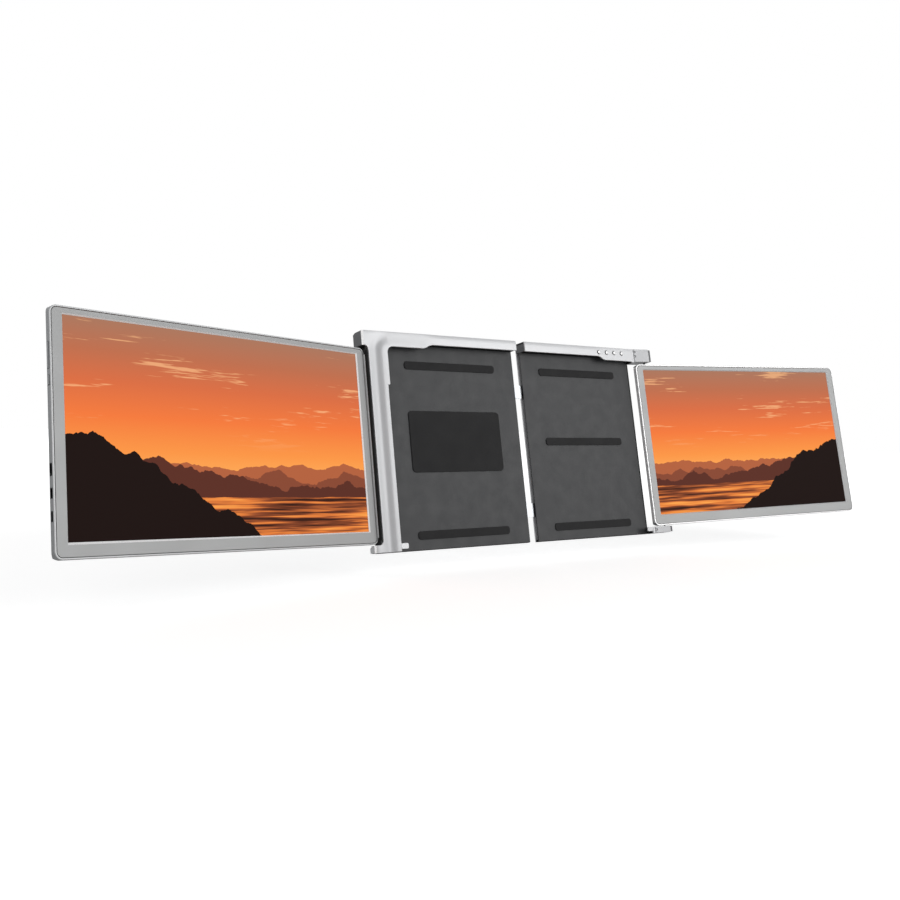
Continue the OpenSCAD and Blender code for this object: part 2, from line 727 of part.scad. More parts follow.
// A circuit board with one shielding can
module driver_board() translate([-casing_w + deep_inset + gap, 0, -casing_h + board_margins[1]]) {
    span([0, board_front, 0], [board_w, board_back, casing_h - board_margins[0] - board_margins[1]]);
    translate([can_place[0], board_front - can_t, can_place[1]]) cube([can_size[0], can_t + eps, can_size[1]]);
}

// Switches on the board behind the rocker and the key
module edge_switches() for (z = [-rocker_drop - rocker_switch, -rocker_drop + rocker_switch, -key_drop]) {
    span([switch_x, edge_y - key_t / 2, z - 2], [switch_x + switch_t, edge_y + key_t / 2, z + 2]);
    span([switch_x + switch_t / 2, edge_y, z - 2], [switch_x + switch_t, board_front + eps, z + 2]);
}

module port_sockets() for (i = [0:2]) translate([-casing_w + gap, edge_y, -port_drops[i]]) {
    difference() {
        span([0, -port_ts[i] / 2, -port_ls[i] / 2], [cover_wall + port_l, port_ts[i] / 2, port_ls[i] / 2]);
        span([-past, -port_ts[i] / 2 + port_wall, -port_ls[i] / 2 + port_wall],
             [cover_wall + port_l - 1.5, port_ts[i] / 2 - port_wall, port_ls[i] / 2 - port_wall]);
    }
    // foot on the board
    span([cover_wall + port_l - port_foot, port_ts[i] / 2 - eps, -port_foot],
         [cover_wall + port_l, board_front - edge_y, port_foot]);
}

module screen_screws() screen_screw_spots() screw(0, 0, screen_t, screen_screw_l);

module left_screen_cover() color(bezel_grey) left_screen_place() difference() {
    screen_cover();
    edge_cut(rocker_drop, rocker_l + 2 * gap, edge_y, key_t + 2 * gap);
    edge_cut(key_drop, key_l + 2 * gap, edge_y, key_t + 2 * gap);
}
module left_screen_bezel() color(bezel_grey) left_screen_place() screen_bezel();
module left_display_panel() color(dusk) left_screen_place() display_panel();
module left_driver_board() color(board_green) left_screen_place() {
    driver_board();
    edge_switches();
}
module left_port_sockets() color(steel) left_screen_place() port_sockets();
module left_screen_screws() color(steel) left_screen_place() screen_screws();

spine_top = -bar_h - notch_r - gap;
spine_foot = foot_top + notch_r + gap;
module left_hinge_spine() color(black) left_turn() difference() {
    union() {
        rod(0, 0, spine_foot, spine_top, spine_r);
        span([-leaf_t, 0, screen_bottom + screen_r],
             [0, left_front - left_axis[1] + edge_t - gap, screen_top - screen_r]);
    }
    rod(0, 0, spine_foot - past, spine_foot + pin_seat, pin_r);
    rod(0, 0, spine_top - pin_seat, spine_top + past, pin_r);
}
module left_hinge_pins() color(steel) left_turn() {
    rod(0, 0, foot_top - foot_pin_l, spine_foot + pin_seat, pin_r);
    rod(0, 0, spine_top - pin_seat, -bar_h + upper_pin_l, pin_r);
}

// A rocker or key in the free edge's wall, with a flange behind the wall
module edge_key(drop, l) translate([-casing_w, edge_y, -drop]) {
    span([-key_proud, -key_t / 2, -l / 2], [cover_wall + key_play + eps, key_t / 2, l / 2]);
    span([cover_wall + key_play, -key_t / 2 - gap, -l / 2 - flange_lip],
         [cover_wall + key_play + flange_t, key_t / 2 + gap, l / 2 + flange_lip]);
}
module left_menu_rocker() color(bezel_grey) left_screen_place() edge_key(rocker_drop, rocker_l);
module left_power_key() color(bezel_grey) left_screen_place() edge_key(key_drop, key_l);

module right_screen_cover() color(bezel_grey) right_screen_place() difference() {
    screen_cover();
    // holes for the pivot pins
    rod(-pivot_x, pivot_depth, -casing_h - past, past, pin_r);
}
module right_screen_bezel() color(bezel_grey) right_screen_place() screen_bezel();
module right_display_panel() color(dusk) right_screen_place() display_panel();
module right_driver_board() color(board_green) right_screen_place() driver_board();
module right_port_sockets() color(steel) right_screen_place() port_sockets();
module right_screen_screws() color(steel) right_screen_place() screen_screws();

// Blocks in the right screen that hold its pivot pins
module right_pivot_blocks() color(black) right_screen_place() difference() {
    for (z = [-deep_inset - pivot_block_l, -casing_h + deep_inset])
        span([-pivot_x - pivot_block_w / 2, bezel_t + panel_t + recess, z],
             [-pivot_x + pivot_block_w / 2, inner_back, z + pivot_block_l]);
    rod(-pivot_x, pivot_depth, -casing_h - past, past, pin_r);
}
module right_pivot_pins() color(steel) right_turn() {
    rod(link_l, pivot_y, screen_top - deep_inset - pivot_block_l, -bar_h + upper_pin_l, pin_r);
    rod(link_l, pivot_y, foot_top - foot_pin_l, screen_bottom + deep_inset + pivot_block_l, pin_r);
}

// ---- the assembly ----

to_origin() left_front_shell();
to_origin() left_mid_frame();
to_origin() left_rear_shell();
to_origin() left_lid_plate();
to_origin() left_ear_caps();
to_origin() left_joint_cap();
to_origin() slide_rails();
to_origin() left_lid_pads();
to_origin() left_bottom_clip();
to_origin() signal_ribbon();
to_origin() left_frame_screws();
to_origin() stand_brackets();
to_origin() rear_stand();
to_origin() stand_pin();
to_origin() stand_foot_pad();
to_origin() right_front_shell();
to_origin() right_mid_frame();
to_origin() right_rear_shell();
to_origin() right_lid_plate();
to_origin() right_joint_cap();
to_origin() rail_guides();
to_origin() right_lid_pads();
to_origin() right_bottom_clip();
to_origin() link_lugs();
to_origin() button_board();
to_origin() right_frame_screws();
to_origin() button_1();
to_origin() button_2();
to_origin() button_3();
to_origin() button_4();
to_origin() upper_link();
to_origin() lower_link();
to_origin() link_end_caps();
to_origin() link_pins();
to_origin() left_screen_cover();
to_origin() left_screen_bezel();
to_origin() left_display_panel();
to_origin() left_driver_board();
to_origin() left_port_sockets();
to_origin() left_hinge_spine();
to_origin() left_hinge_pins();
to_origin() left_screen_screws();
to_origin() left_menu_rocker();
to_origin() left_power_key();
to_origin() right_screen_cover();
to_origin() right_screen_bezel();
to_origin() right_display_panel();
to_origin() right_driver_board();
to_origin() right_port_sockets();
to_origin() right_pivot_blocks();
to_origin() right_pivot_pins();
to_origin() right_screen_screws();
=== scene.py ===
"""Looks of the laptop screen extender: its painted and moulded pieces, its two lit
screens, the camera and a plain pale studio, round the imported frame.

Pieces are modelled on a bench in millimetres, in the frame's own coordinates: X to
the right, Y to the back and Z up, from the column's outer wall, the front of the
frame and the top of the bar. to_frame() then puts them in place, in metres.
"""

import json
import math

import bmesh
import bpy
from mathutils import Matrix, Vector


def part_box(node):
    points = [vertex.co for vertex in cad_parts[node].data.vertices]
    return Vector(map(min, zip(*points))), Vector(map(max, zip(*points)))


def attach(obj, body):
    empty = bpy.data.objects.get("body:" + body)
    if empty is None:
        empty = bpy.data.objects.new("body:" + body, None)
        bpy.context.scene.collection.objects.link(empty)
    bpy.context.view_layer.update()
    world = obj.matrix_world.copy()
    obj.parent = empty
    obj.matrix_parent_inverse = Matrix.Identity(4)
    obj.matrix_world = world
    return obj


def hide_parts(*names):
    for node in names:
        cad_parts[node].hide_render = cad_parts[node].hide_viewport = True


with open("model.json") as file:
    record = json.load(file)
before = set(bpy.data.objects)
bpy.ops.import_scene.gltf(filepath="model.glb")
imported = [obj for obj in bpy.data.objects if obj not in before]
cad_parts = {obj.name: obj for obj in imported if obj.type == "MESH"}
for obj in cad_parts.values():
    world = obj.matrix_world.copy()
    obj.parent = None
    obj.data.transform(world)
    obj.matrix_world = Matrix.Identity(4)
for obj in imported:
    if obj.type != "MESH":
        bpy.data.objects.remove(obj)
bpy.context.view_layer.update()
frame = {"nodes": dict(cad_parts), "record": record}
bpy.ops.object.select_all(action="DESELECT")

MM = 0.001

# ---- sizes, in millimetres ----

EAR_W = 6.2                     # how far the upper ear stands out, and the foot's
FOOT_EAR_W = 9.8
FOOT_H = 6.9                    # height of the foot's ear
CAP_INSET = 0.3                 # how far the dark caps stay inside the ears' outline
BAR_H = 14.5
BAR_STEP = 4.0                  # how far the bar's lower edge steps up to its thin stretch
STEP_RUN = 6.5                  # length of that step along the bar
STEP_FILLET = 3.5               # rounding of the left half's step, and of the right half's
RIGHT_STEP_FILLET = 2.0
COLUMN_W = 18.8
SHELL_T = 1.8
BEVEL_RUN = 1.5                 # the bevel at an ear's end, along the bar and to the back
BEVEL_DEPTH = 1.4
NOTCH_R = 4.5                   # rounding between an ear and the column
FILLET = 6.0                    # rounding between the column and the bar
CORNER_LIP_W = 2.2              # the lip beside the column, under the bar
CORNER_LIP_H = 52.0
LIP_FILLET = 0.8
LEFT_STEP_X = 65.0
THICK_END = 53.0                # length of the right half's thick end, with its step
POINT_W = 4.0                   # the small point at the right half's lower corner
POINT_RUN = 1.6
POINT_H = 1.0
LINK_GAP = 0.4                  # between the right half and its link
LEFT_ANGLE = math.radians(13.4)
RIGHT_ANGLE = math.radians(-7.9)
KNUCKLE_R = 2.5                 # rounding of the link about its pin
RIM = 0.45                      # width of the small bevel round the front shells
BUTTON_R = 2.1
BUTTON_HOLE_R = 2.4
BUTTON_FRONT, BUTTON_BACK = -0.35, 3.4      # depths of a button's faces behind the flat front
BUTTON_RINGS = ((0.2, 0.26), (0.35, 0.16), (0.45, 0.1), (0.5, 0.05))    # width and rise of each
ROUND_SIDES = 40

shell_low, shell_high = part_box("left_front_shell")
SEAT = Vector((-shell_low.x / MM - FOOT_EAR_W, -shell_low.y / MM, -shell_high.z / MM))
FRAME_H = (shell_high.z - shell_low.z) / MM
LEFT_END = shell_high.x / MM + SEAT.x
SHELL_BACK = shell_high.y / MM + SEAT.y     # where the front shells' top walls end
right_low, right_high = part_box("right_front_shell")
RIGHT_START = right_low.x / MM + SEAT.x
RIGHT_END = right_high.x / MM + SEAT.x
RIGHT_STEP_X = RIGHT_END - THICK_END
FOOT_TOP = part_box("left_ear_caps")[0].z / MM + SEAT.z + FOOT_H - CAP_INSET
EAR_X = -EAR_W + BEVEL_RUN        # where the ears' bevels begin
FOOT_EAR_X = -FOOT_EAR_W + BEVEL_RUN
BAR_FOOT = -BAR_H + BAR_STEP      # lower edge of the thin stretch

# The left screen turns about an axis in front of it, the right one on its link
LEFT_AXIS = Vector((-1.9, 1.9, 0))
RIGHT_AXIS = Vector((RIGHT_END + LINK_GAP + KNUCKLE_R, KNUCKLE_R, 0))
SCREEN_TOP = -17.2
LEFT_SCREEN_CORNER = Vector((-0.9, 2.3, SCREEN_TOP))
RIGHT_SCREEN_CORNER = Vector((0.5, -0.9, SCREEN_TOP))
ACTIVE_W, ACTIVE_H = 294.1, 165.4
BEZEL_SIDE, BEZEL_TOP, BEZEL_BOTTOM = 10.3, 6.5, 12.0
PANEL_DEPTH = 1.2               # how far the lit picture lies behind the bezel's front
CASING_W = ACTIVE_W + 2 * BEZEL_SIDE
CASING_H = ACTIVE_H + BEZEL_TOP + BEZEL_BOTTOM
RIM_CHAMFER = 0.4               # round a screen's front, and round its picture
PICTURE_CHAMFER = 0.9
SILL = 0.9                      # by how much the chamfer below the left picture is wider

FRAME_MATRIX = Matrix.Scale(MM, 4) @ Matrix.Translation(-SEAT)
LEFT_TURN = Matrix.Translation(LEFT_AXIS) @ Matrix.Rotation(LEFT_ANGLE, 4, "Z")
RIGHT_TURN = Matrix.Translation(RIGHT_AXIS) @ Matrix.Rotation(RIGHT_ANGLE, 4, "Z")
LEFT_SCREEN = LEFT_TURN @ Matrix.Translation(LEFT_SCREEN_CORNER)
RIGHT_SCREEN = RIGHT_TURN @ Matrix.Translation(RIGHT_SCREEN_CORNER)


# ---- modelling helpers ----

def alone(obj):
    """Makes obj the only selected object, and the active one."""
    bpy.ops.object.select_all(action="DESELECT")
    obj.select_set(True)
    bpy.context.view_layer.objects.active = obj


def edit(obj):
    alone(obj)
    bpy.ops.object.mode_set(mode="EDIT")


def done():
    bpy.ops.object.mode_set(mode="OBJECT")


def pick(obj, kind, test):
    """In edit mode, selects the edges or faces that pass the test."""
    bpy.ops.mesh.select_mode(type=kind)
    bpy.ops.mesh.select_all(action="DESELECT")
    shape = bmesh.from_edit_mesh(obj.data)
    chosen = shape.edges if kind == "EDGE" else shape.faces
    for item in [item for item in chosen if test(item)]:
        item.select_set(True)
    bmesh.update_edit_mesh(obj.data)


def middle(item):
    """Middle of an edge or a face."""
    return sum((v.co for v in item.verts), Vector()) / len(item.verts)


def near(a, b, slack=0.02):
    return abs(a - b) < slack


def share(value):
    """The value, kept between 0 and 1."""
    return min(max(value, 0.0), 1.0)


def steps(start, pitch, count):
    """Evenly spaced places along an axis."""
    return [start + pitch * i for i in range(count)]


def add_modifier(obj, kind, **settings):
    """Adds a modifier with its settings and applies it."""
    alone(obj)
    made = obj.modifiers.new(kind.lower(), kind)
    for name, value in settings.items():
        setattr(made, name, value)
    bpy.ops.object.modifier_apply(modifier=made.name)


def bevel_edges(obj, width):
    """Rounds each edge where the surface turns by more than 35 degrees."""
    add_modifier(obj, "BEVEL", width=width, segments=2, limit_method="ANGLE",
                 angle_limit=math.radians(35), use_clamp_overlap=True)


def smooth(obj, angle=32.0):
    """Shades round faces smooth and flat faces flat."""
    alone(obj)
    bpy.ops.object.shade_smooth_by_angle(angle=math.radians(angle))
    add_modifier(obj, "WEIGHTED_NORMAL", keep_sharp=True, weight=50)


def bench_block(name, low, high):
    """A block from its lowest to its highest corner, on the bench."""
    low, high = Vector(low), Vector(high)
    bpy.ops.mesh.primitive_cube_add(size=1, location=(low + high) / 2)
    block = bpy.context.object
    block.name = name
    block.scale = high - low
    bpy.ops.object.transform_apply(location=True, rotation=True, scale=True)
    return block


def to_frame(obj):
    """Takes a bench piece to its place in the frame, in metres."""
    alone(obj)
    obj.matrix_world = FRAME_MATRIX
    bpy.ops.object.transform_apply(location=True, rotation=True, scale=True)


def coat(obj, *materials):
    """Gives a piece its materials, with all its faces in the first one."""
    obj.data.materials.clear()
    for material in materials:
        obj.data.materials.append(MATERIALS[material])
    for face in obj.data.polygons:
        face.material_index = 0


def give(obj, body, slot, *nodes):
    """Lets a finished piece ride on its body in place of the nodes that it stands for."""
    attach(obj, body)
    if nodes:
        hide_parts(*nodes)


# ---- materials ----

MIX_A, MIX_B, MIXED = 6, 7, 2            # a Mix node's sockets for colours
NOISE_LOW, NOISE_HIGH = 0.7, 1.3         # where the sum of two noises mostly lies


def srgb(code):
    """Linear colour of an sRGB hex value."""
    parts = [int(code[i:i + 2], 16) / 255 for i in (1, 3, 5)]
    return [p / 12.92 if p <= 0.04045 else ((p + 0.055) / 1.055) ** 2.4 for p in parts] + [1.0]


def add_node(tree, kind, inputs=None, **settings):
    """Adds a node, with its settings, and its inputs as values or as nodes to link."""
    made = tree.nodes.new("ShaderNode" + kind)
    for name, value in settings.items():
        setattr(made, name, value)
    for key, value in (inputs or {}).items():
        if isinstance(value, bpy.types.Node):
            value = value.outputs[0]
        if isinstance(value, bpy.types.NodeSocket):
            tree.links.new(value, made.inputs[key])
        else:
            made.inputs[key].default_value = value
    return made


def start_material(name, colour, **values):
    """A material with a Principled shader, its colour and its plain values."""
    made = bpy.data.materials.new(name)
    made.use_nodes = True
    shader = made.node_tree.nodes["Principled BSDF"]
    shader.inputs["Base Color"].default_value = srgb(colour)
    for key, value in values.items():
        shader.inputs[key.replace("_", " ").title().replace("Ior", "IOR")].default_value = value
    return made, made.node_tree, shader


def per_mm(size):
    """Scale of a texture whose features are that many millimetres apart."""
    return 1 / (size * MM)


def surface_grain(tree, shader, colours, roughness, grain, mottle, depth, stretch=(1, 1, 1)):
    """Gives a surface its fine grain and its slow unevenness.

    colours are the darker and the lighter tone, roughness its range, grain and mottle
    the spacing in millimetres and depth the grain's height in millimetres.
    """
    place = add_node(tree, "TexCoord").outputs["Object"]
    lines = add_node(tree, "Mapping", {"Vector": place, "Scale": stretch})
    fine = add_node(tree, "TexNoise", {"Vector": lines, "Scale": per_mm(grain), "Detail": 3.0})
    slow = add_node(tree, "TexNoise", {"Vector": place, "Scale": per_mm(mottle), "Detail": 2.0})
    both = add_node(tree, "Math", {0: fine, 1: slow}, operation="ADD")
    tone = add_node(tree, "MapRange", {"Value": both, "From Min": NOISE_LOW, "From Max": NOISE_HIGH})
    mixed = add_node(tree, "Mix", {0: tone, MIX_A: srgb(colours[0]), MIX_B: srgb(colours[1])},
                     data_type="RGBA")
    tree.links.new(mixed.outputs[MIXED], shader.inputs["Base Color"])
    gloss = add_node(tree, "MapRange", {"Value": both, "From Min": NOISE_LOW, "From Max": NOISE_HIGH,
                                        "To Min": roughness[0], "To Max": roughness[1]})
    tree.links.new(gloss.outputs[0], shader.inputs["Roughness"])
    bump = add_node(tree, "Bump", {"Height": fine, "Distance": depth * MM, "Strength": 1.0})
    tree.links.new(bump.outputs[0], shader.inputs["Normal"])


def satin_silver_paint():
    """Fine metallic lacquer, sprayed: pale, satin, with a faint sparkle and slow clouds.

    An attribute mixes in a darker grey where it is set: painted shade along the valley and down the
    column.
    """
    made, tree, shader = start_material("satin_silver_paint", "#D8D9DB", metallic=0.2,
                                        coat_weight=0.1, coat_roughness=0.25)
    surface_grain(tree, shader, ("#D2D3D5", "#D9DADC"), (0.36, 0.44), grain=0.5, mottle=28, depth=0.004)
    sprayed = shader.inputs["Base Color"].links[0].from_socket
    hollow = add_node(tree, "Attribute", attribute_name="hollow")
    # painted shade: the attribute darkens the lacquer towards a darker grey
    thin = add_node(tree, "MapRange", {"Value": hollow.outputs["Fac"], "To Max": 0.55})
    tree.links.new(over(tree, sprayed, "#8C8D90", thin), shader.inputs["Base Color"])
    return made


def link_lacquer_painted_darker():
    """The same lacquer over the die-cast links, a shade darker: painted shade, as they face the key lamp.
    """
    made, tree, shader = start_material("link_lacquer_painted_darker", "#B8B9BB", metallic=0.2)
    surface_grain(tree, shader, ("#B4B5B7", "#BABBBD"), (0.38, 0.46), grain=0.5, mottle=28, depth=0.004)
    return made


def bright_painted_highlight():
    """Bare aluminium, near white and nearly mirror-smooth: a painted highlight on edges and faces that
    catch the light.
    """
    made, tree, shader = start_material("bright_painted_highlight", "#F6F6F7", metallic=0.25)
    surface_grain(tree, shader, ("#F3F3F4", "#F9F9F9"), (0.24, 0.32), grain=0.4, mottle=20, depth=0.002)
    return made


def pale_painted_highlight():
    """The casing's aluminium, paler and a little shinier: a painted highlight on rims and chamfers that
    catch the light.
    """
    made, tree, shader = start_material("pale_painted_highlight", "#CACBCC", metallic=0.2)
    surface_grain(tree, shader, ("#C8C9CA", "#CDCECF"), (0.38, 0.46), grain=0.4, mottle=20, depth=0.003)
    return made


def blasted_aluminium():
    """Bead-blasted and anodised aluminium: an even, matt mid grey with a fine grit."""
    made, tree, shader = start_material("blasted_aluminium", "#A6A7A7", metallic=0.3)
    surface_grain(tree, shader, ("#A3A4A4", "#A8A9A9"), (0.44, 0.54), grain=0.6, mottle=40, depth=0.008)
    return made


def casing_aluminium_painted_darker():
    """The same blasted aluminium a shade darker, as on the screens' backs: painted shade for the screens'
    sides, which face away from the light.
    """
    made, tree, shader = start_material("casing_aluminium_painted_darker", "#989A9C", metallic=0.35)
    surface_grain(tree, shader, ("#96989A", "#9A9C9E"), (0.42, 0.52), grain=0.6, mottle=40, depth=0.008)
    return made


def black_moulding():
    """Black ABS from a spark-eroded mould: matt, with a close even texture."""
    made, tree, shader = start_material("black_moulding", "#0A0A0B", ior=1.45, specular_ior_level=0.2)
    surface_grain(tree, shader, ("#070708", "#0D0D0E"), (0.55, 0.68), grain=0.7, mottle=25, depth=0.02)
    return made


def grey_moulding_and_painted_shade():
    """Dark grey ABS, moulded: the caps at the ends of the bar and of the ears; on the buttons' sides its
    dark tone is painted shade.
    """
    made, tree, shader = start_material("grey_moulding_and_painted_shade", "#5C5D5F", ior=1.52)
    surface_grain(tree, shader, ("#55565A", "#646567"), (0.42, 0.54), grain=0.8, mottle=12, depth=0.02)
    return made


def dark_plate():
    """Glass-filled nylon, moulded as a flat plate: dark, slightly mottled."""
    made, tree, shader = start_material("dark_plate", "#2B2C2E", ior=1.53)
    surface_grain(tree, shader, ("#262729", "#313234"), (0.5, 0.62), grain=0.9, mottle=14, depth=0.03)
    return made


def pad_rubber():
    """Moulded silicone rubber: dark and dull, with a fine stipple for its grip."""
    made, tree, shader = start_material("pad_rubber", "#1B1B1C", ior=1.41)
    surface_grain(tree, shader, ("#171718", "#222223"), (0.72, 0.86), grain=1.1, mottle=18, depth=0.05)
    return made


def drawn_steel():
    """Drawn and brushed steel: grey, with fine lines along its length."""
    made, tree, shader = start_material("drawn_steel", "#9A9C9F", metallic=1.0)
    surface_grain(tree, shader, ("#8E9093", "#A6A8AB"), (0.26, 0.38), grain=0.5, mottle=30, depth=0.006,
                  stretch=(0.03, 1, 1))
    return made


def blackened_steel():
    """Steel pins, oxidised black and lightly oiled."""
    made, tree, shader = start_material("blackened_steel", "#121213", metallic=0.4)
    surface_grain(tree, shader, ("#0F0F10", "#161617"), (0.4, 0.5), grain=0.4, mottle=8, depth=0.004)
    return made


def stand_aluminium():
    """Extruded, satin anodised aluminium with the faint lines of its drawing."""
    made, tree, shader = start_material("stand_aluminium", "#C6C7C9", metallic=0.5)
    surface_grain(tree, shader, ("#C0C1C3", "#CCCDCF"), (0.36, 0.46), grain=0.5, mottle=35, depth=0.006,
                  stretch=(1, 1, 0.05))
    return made


def solder_mask():
    """Green circuit board: glossy lacquer over the fine relief of copper tracks."""
    made, tree, shader = start_material("solder_mask", "#1F5B3A", ior=1.5)
    surface_grain(tree, shader, ("#184A2F", "#2A6E48"), (0.25, 0.4), grain=1.5, mottle=6, depth=0.03)
    return made


def polyimide_film():
    """Flat ribbon of amber polyimide film with copper lines along it."""
    made, tree, shader = start_material("polyimide_film", "#C8A24A", ior=1.6)
    surface_grain(tree, shader, ("#B68F3C", "#D6B25A"), (0.3, 0.42), grain=0.6, mottle=10, depth=0.01,
                  stretch=(0.05, 1, 1))
    return made


def acetal():
    """Black acetal, the slippery plastic of slide guides: darker and smoother than ABS."""
    made, tree, shader = start_material("acetal", "#1E1F21", ior=1.48)
    surface_grain(tree, shader, ("#191A1C", "#242527"), (0.32, 0.42), grain=0.8, mottle=15, depth=0.01)
    return made


def socket_metal():
    """Stamped socket shell, nickel plated; its dark tone is painted shade for its deep openings."""
    made, tree, shader = start_material("socket_metal", "#2A2B2D", metallic=0.6)
    surface_grain(tree, shader, ("#1B1C1E", "#303134"), (0.3, 0.42), grain=0.4, mottle=5, depth=0.004)
    return made


def ridge(tree, across, height, base, swell, peaks, spacing, seed):
    """1 below a ridge's skyline and 0 above it.

    across and height run from 0 to 1 over the picture, base is the skyline's mean
    height, swell a node or value that is added to it, and peaks how high it rises
    and falls. spacing is about how many peaks there are across the picture.
    """
    along = add_node(tree, "Math", {0: across, 1: spacing, 2: seed}, operation="MULTIPLY_ADD")
    profile = add_node(tree, "TexNoise", {"W": along, "Scale": 1.0, "Detail": 7.0, "Roughness": 0.55},
                       noise_dimensions="1D")
    skyline = add_node(tree, "Math", {0: profile, 1: peaks, 2: base - peaks / 2}, operation="MULTIPLY_ADD")
    raised = add_node(tree, "Math", {0: skyline, 1: swell}, operation="ADD")
    return add_node(tree, "Math", {0: height, 1: raised}, operation="LESS_THAN")


def over(tree, below, colour, mask):
    """Lays a colour, a hex value or a node, over the one below, where the mask is 1."""
    above = srgb(colour) if isinstance(colour, str) else colour
    mixed = add_node(tree, "Mix", {0: mask, MIX_A: below, MIX_B: above}, data_type="RGBA")
    return mixed.outputs[MIXED]


def colour_ramp(tree, value, bands):
    """Turns a value into a colour; bands gives each colour with the value it stands at."""
    made = add_node(tree, "ValToRGB", {0: value})
    for i, (stop, colour) in enumerate(bands):
        element = made.color_ramp.elements[i] if i < 2 else made.color_ramp.elements.new(stop)
        element.position = stop
        element.color = srgb(colour)
    return made


SKY = ((0.0, "#FFC477"), (0.24, "#FFB45F"), (0.4, "#FC9746"), (0.56, "#F57B3D"), (0.72, "#DB6F44"),
       (0.86, "#C0704F"), (1.0, "#AC785F"))
WET_FLATS = ((0.36, "#3A1D14"), (0.47, "#8F4A2C"), (0.56, "#E8813C"), (0.68, "#FFA850"))
CLOUD_EDGE = (1.16, 1.24)       # sum of the two noises where a cloud begins, and where it is full
CLOUD_BASE = (0.42, 0.62)       # heights, from 0 to 1, between which the clouds set in


def screen_picture(name, corner, angle, dark_side, seed):
    """A lit display under satin glass. It shows a made-up evening: bands of cloud over
    ridges of hills, the nearest one dark and rising towards dark_side, -1 or 1.

    corner is the lit picture's lower left corner, in metres, and angle its turn.
    """
    made, tree, shader = start_material(name, "#050505", roughness=0.4, specular_ior_level=0.02,
                                        emission_strength=1.0)
    place = add_node(tree, "TexCoord").outputs["Object"]
    flat = add_node(tree, "Mapping", {"Vector": place, "Location": corner, "Rotation": (0, 0, angle),
                                      "Scale": (ACTIVE_W * MM, 1, ACTIVE_H * MM)}, vector_type="TEXTURE")
    split = add_node(tree, "SeparateXYZ", {0: flat})
    across, height = split.outputs["X"], split.outputs["Z"]
    drift = add_node(tree, "CombineXYZ", {0: across, 1: height, 2: seed})

    # long thin bands of cloud, more of them towards the top
    streaks = add_node(tree, "Mapping", {"Vector": drift, "Scale": (7.0, 62.0, 1.0),
                                         "Rotation": (0, 0, 0.002)})
    wisps = add_node(tree, "TexNoise", {"Vector": streaks, "Scale": 1.0, "Detail": 3.0, "Roughness": 0.6})
    banks = add_node(tree, "Mapping", {"Vector": drift, "Scale": (2.2, 7.0, 1.0)})
    patches = add_node(tree, "TexNoise", {"Vector": banks, "Scale": 1.0, "Detail": 1.0})
    joined = add_node(tree, "Math", {0: wisps, 1: patches}, operation="ADD")
    cloud = add_node(tree, "MapRange", {"Value": joined, "From Min": CLOUD_EDGE[0],
                                        "From Max": CLOUD_EDGE[1]})
    aloft = add_node(tree, "MapRange", {"Value": height, "From Min": CLOUD_BASE[0],
                                        "From Max": CLOUD_BASE[1], "To Max": 0.62})
    shown = add_node(tree, "Math", {0: cloud, 1: aloft}, operation="MULTIPLY")
    picture = over(tree, colour_ramp(tree, height, SKY).outputs[0], "#FFC089", shown)

    # wet flats before the ridges: the sky's colours again, in long dark and bright bands
    bars = add_node(tree, "Mapping", {"Vector": drift, "Scale": (2.6, 44.0, 1.0), "Location": (0, 0, 5.5)})
    ripple = add_node(tree, "TexNoise", {"Vector": bars, "Scale": 1.0, "Detail": 3.0, "Roughness": 0.6})
    flats = colour_ramp(tree, ripple, WET_FLATS)

    # the ridges, from the farthest to the nearest, with the flats before the last
    start, end = (0.75, 0.0) if dark_side < 0 else (0.25, 1.0)
    side = add_node(tree, "MapRange", {"Value": across, "From Min": start, "From Max": end},
                    interpolation_type="SMOOTHSTEP")
    rise = add_node(tree, "Math", {0: side, 1: 0.52}, operation="MULTIPLY")
    half_rise = add_node(tree, "Math", {0: side, 1: 0.16}, operation="MULTIPLY")
    layers = (
        # colour, mean height, what is added to it, peaks, their number, place in the noise
        ("#B5633F", 0.345, 0.0, 0.13, 5.0, 3.1),
        ("#8A4A34", 0.29, 0.0, 0.16, 6.5, 9.4),
        ("#5D3025", 0.245, half_rise, 0.15, 8.0, 17.2),
        (flats, 0.19, 0.0, 0.012, 9.0, 26.5),
        ("#1C0F0C", -0.05, rise, 0.15, 9.0, 37.9),
    )
    for colour, base, swell, peaks, spacing, noise_start in layers:
        land = ridge(tree, across, height, base, swell, peaks, spacing, noise_start + seed)
        picture = over(tree, picture, colour, land)
    tree.links.new(picture, shader.inputs["Emission Color"])
    return made


# ---- the frame's front shells ----

def cut_at(obj, axis, places):
    """In edit mode, cuts the whole mesh by planes square to an axis."""
    normal = Vector((axis == "x", axis == "y", axis == "z"))
    for value in places:
        bpy.ops.mesh.select_all(action="SELECT")
        bpy.ops.mesh.bisect(plane_co=normal * value, plane_no=normal)


def push_faces(obj, test, offset):
    """In edit mode, extrudes the faces that pass the test."""
    pick(obj, "FACE", test)
    bpy.ops.mesh.extrude_region_move(TRANSFORM_OT_translate={"value": offset})


def facing(axis, sign, at, low=None, high=None, along=None):
    """A test for faces that face along an axis, at a place on it, within a stretch."""
    index = "xyz".index(axis)

    def test(face):
        if face.normal[index] * sign < 0.9 or not near(middle(face)[index], at):
            return False
        return along is None or low - 0.01 < middle(face)["xyz".index(along)] < high + 0.01
    return test


def post_edge(x, z):
    """A test for edges along Y at that place in front view."""
    def test(edge):
        a, b = (v.co for v in edge.verts)
        return all(near(p.x, x) and near(p.z, z) for p in (a, b)) and abs(a.y - b.y) > 0.1
    return test


def shift_points(obj, test, offset):
    """In edit mode, moves the points that pass the test."""
    shape = bmesh.from_edit_mesh(obj.data)
    for point in shape.verts:
        if test(point.co):
            point.co += Vector(offset)
    bmesh.update_edit_mesh(obj.data)


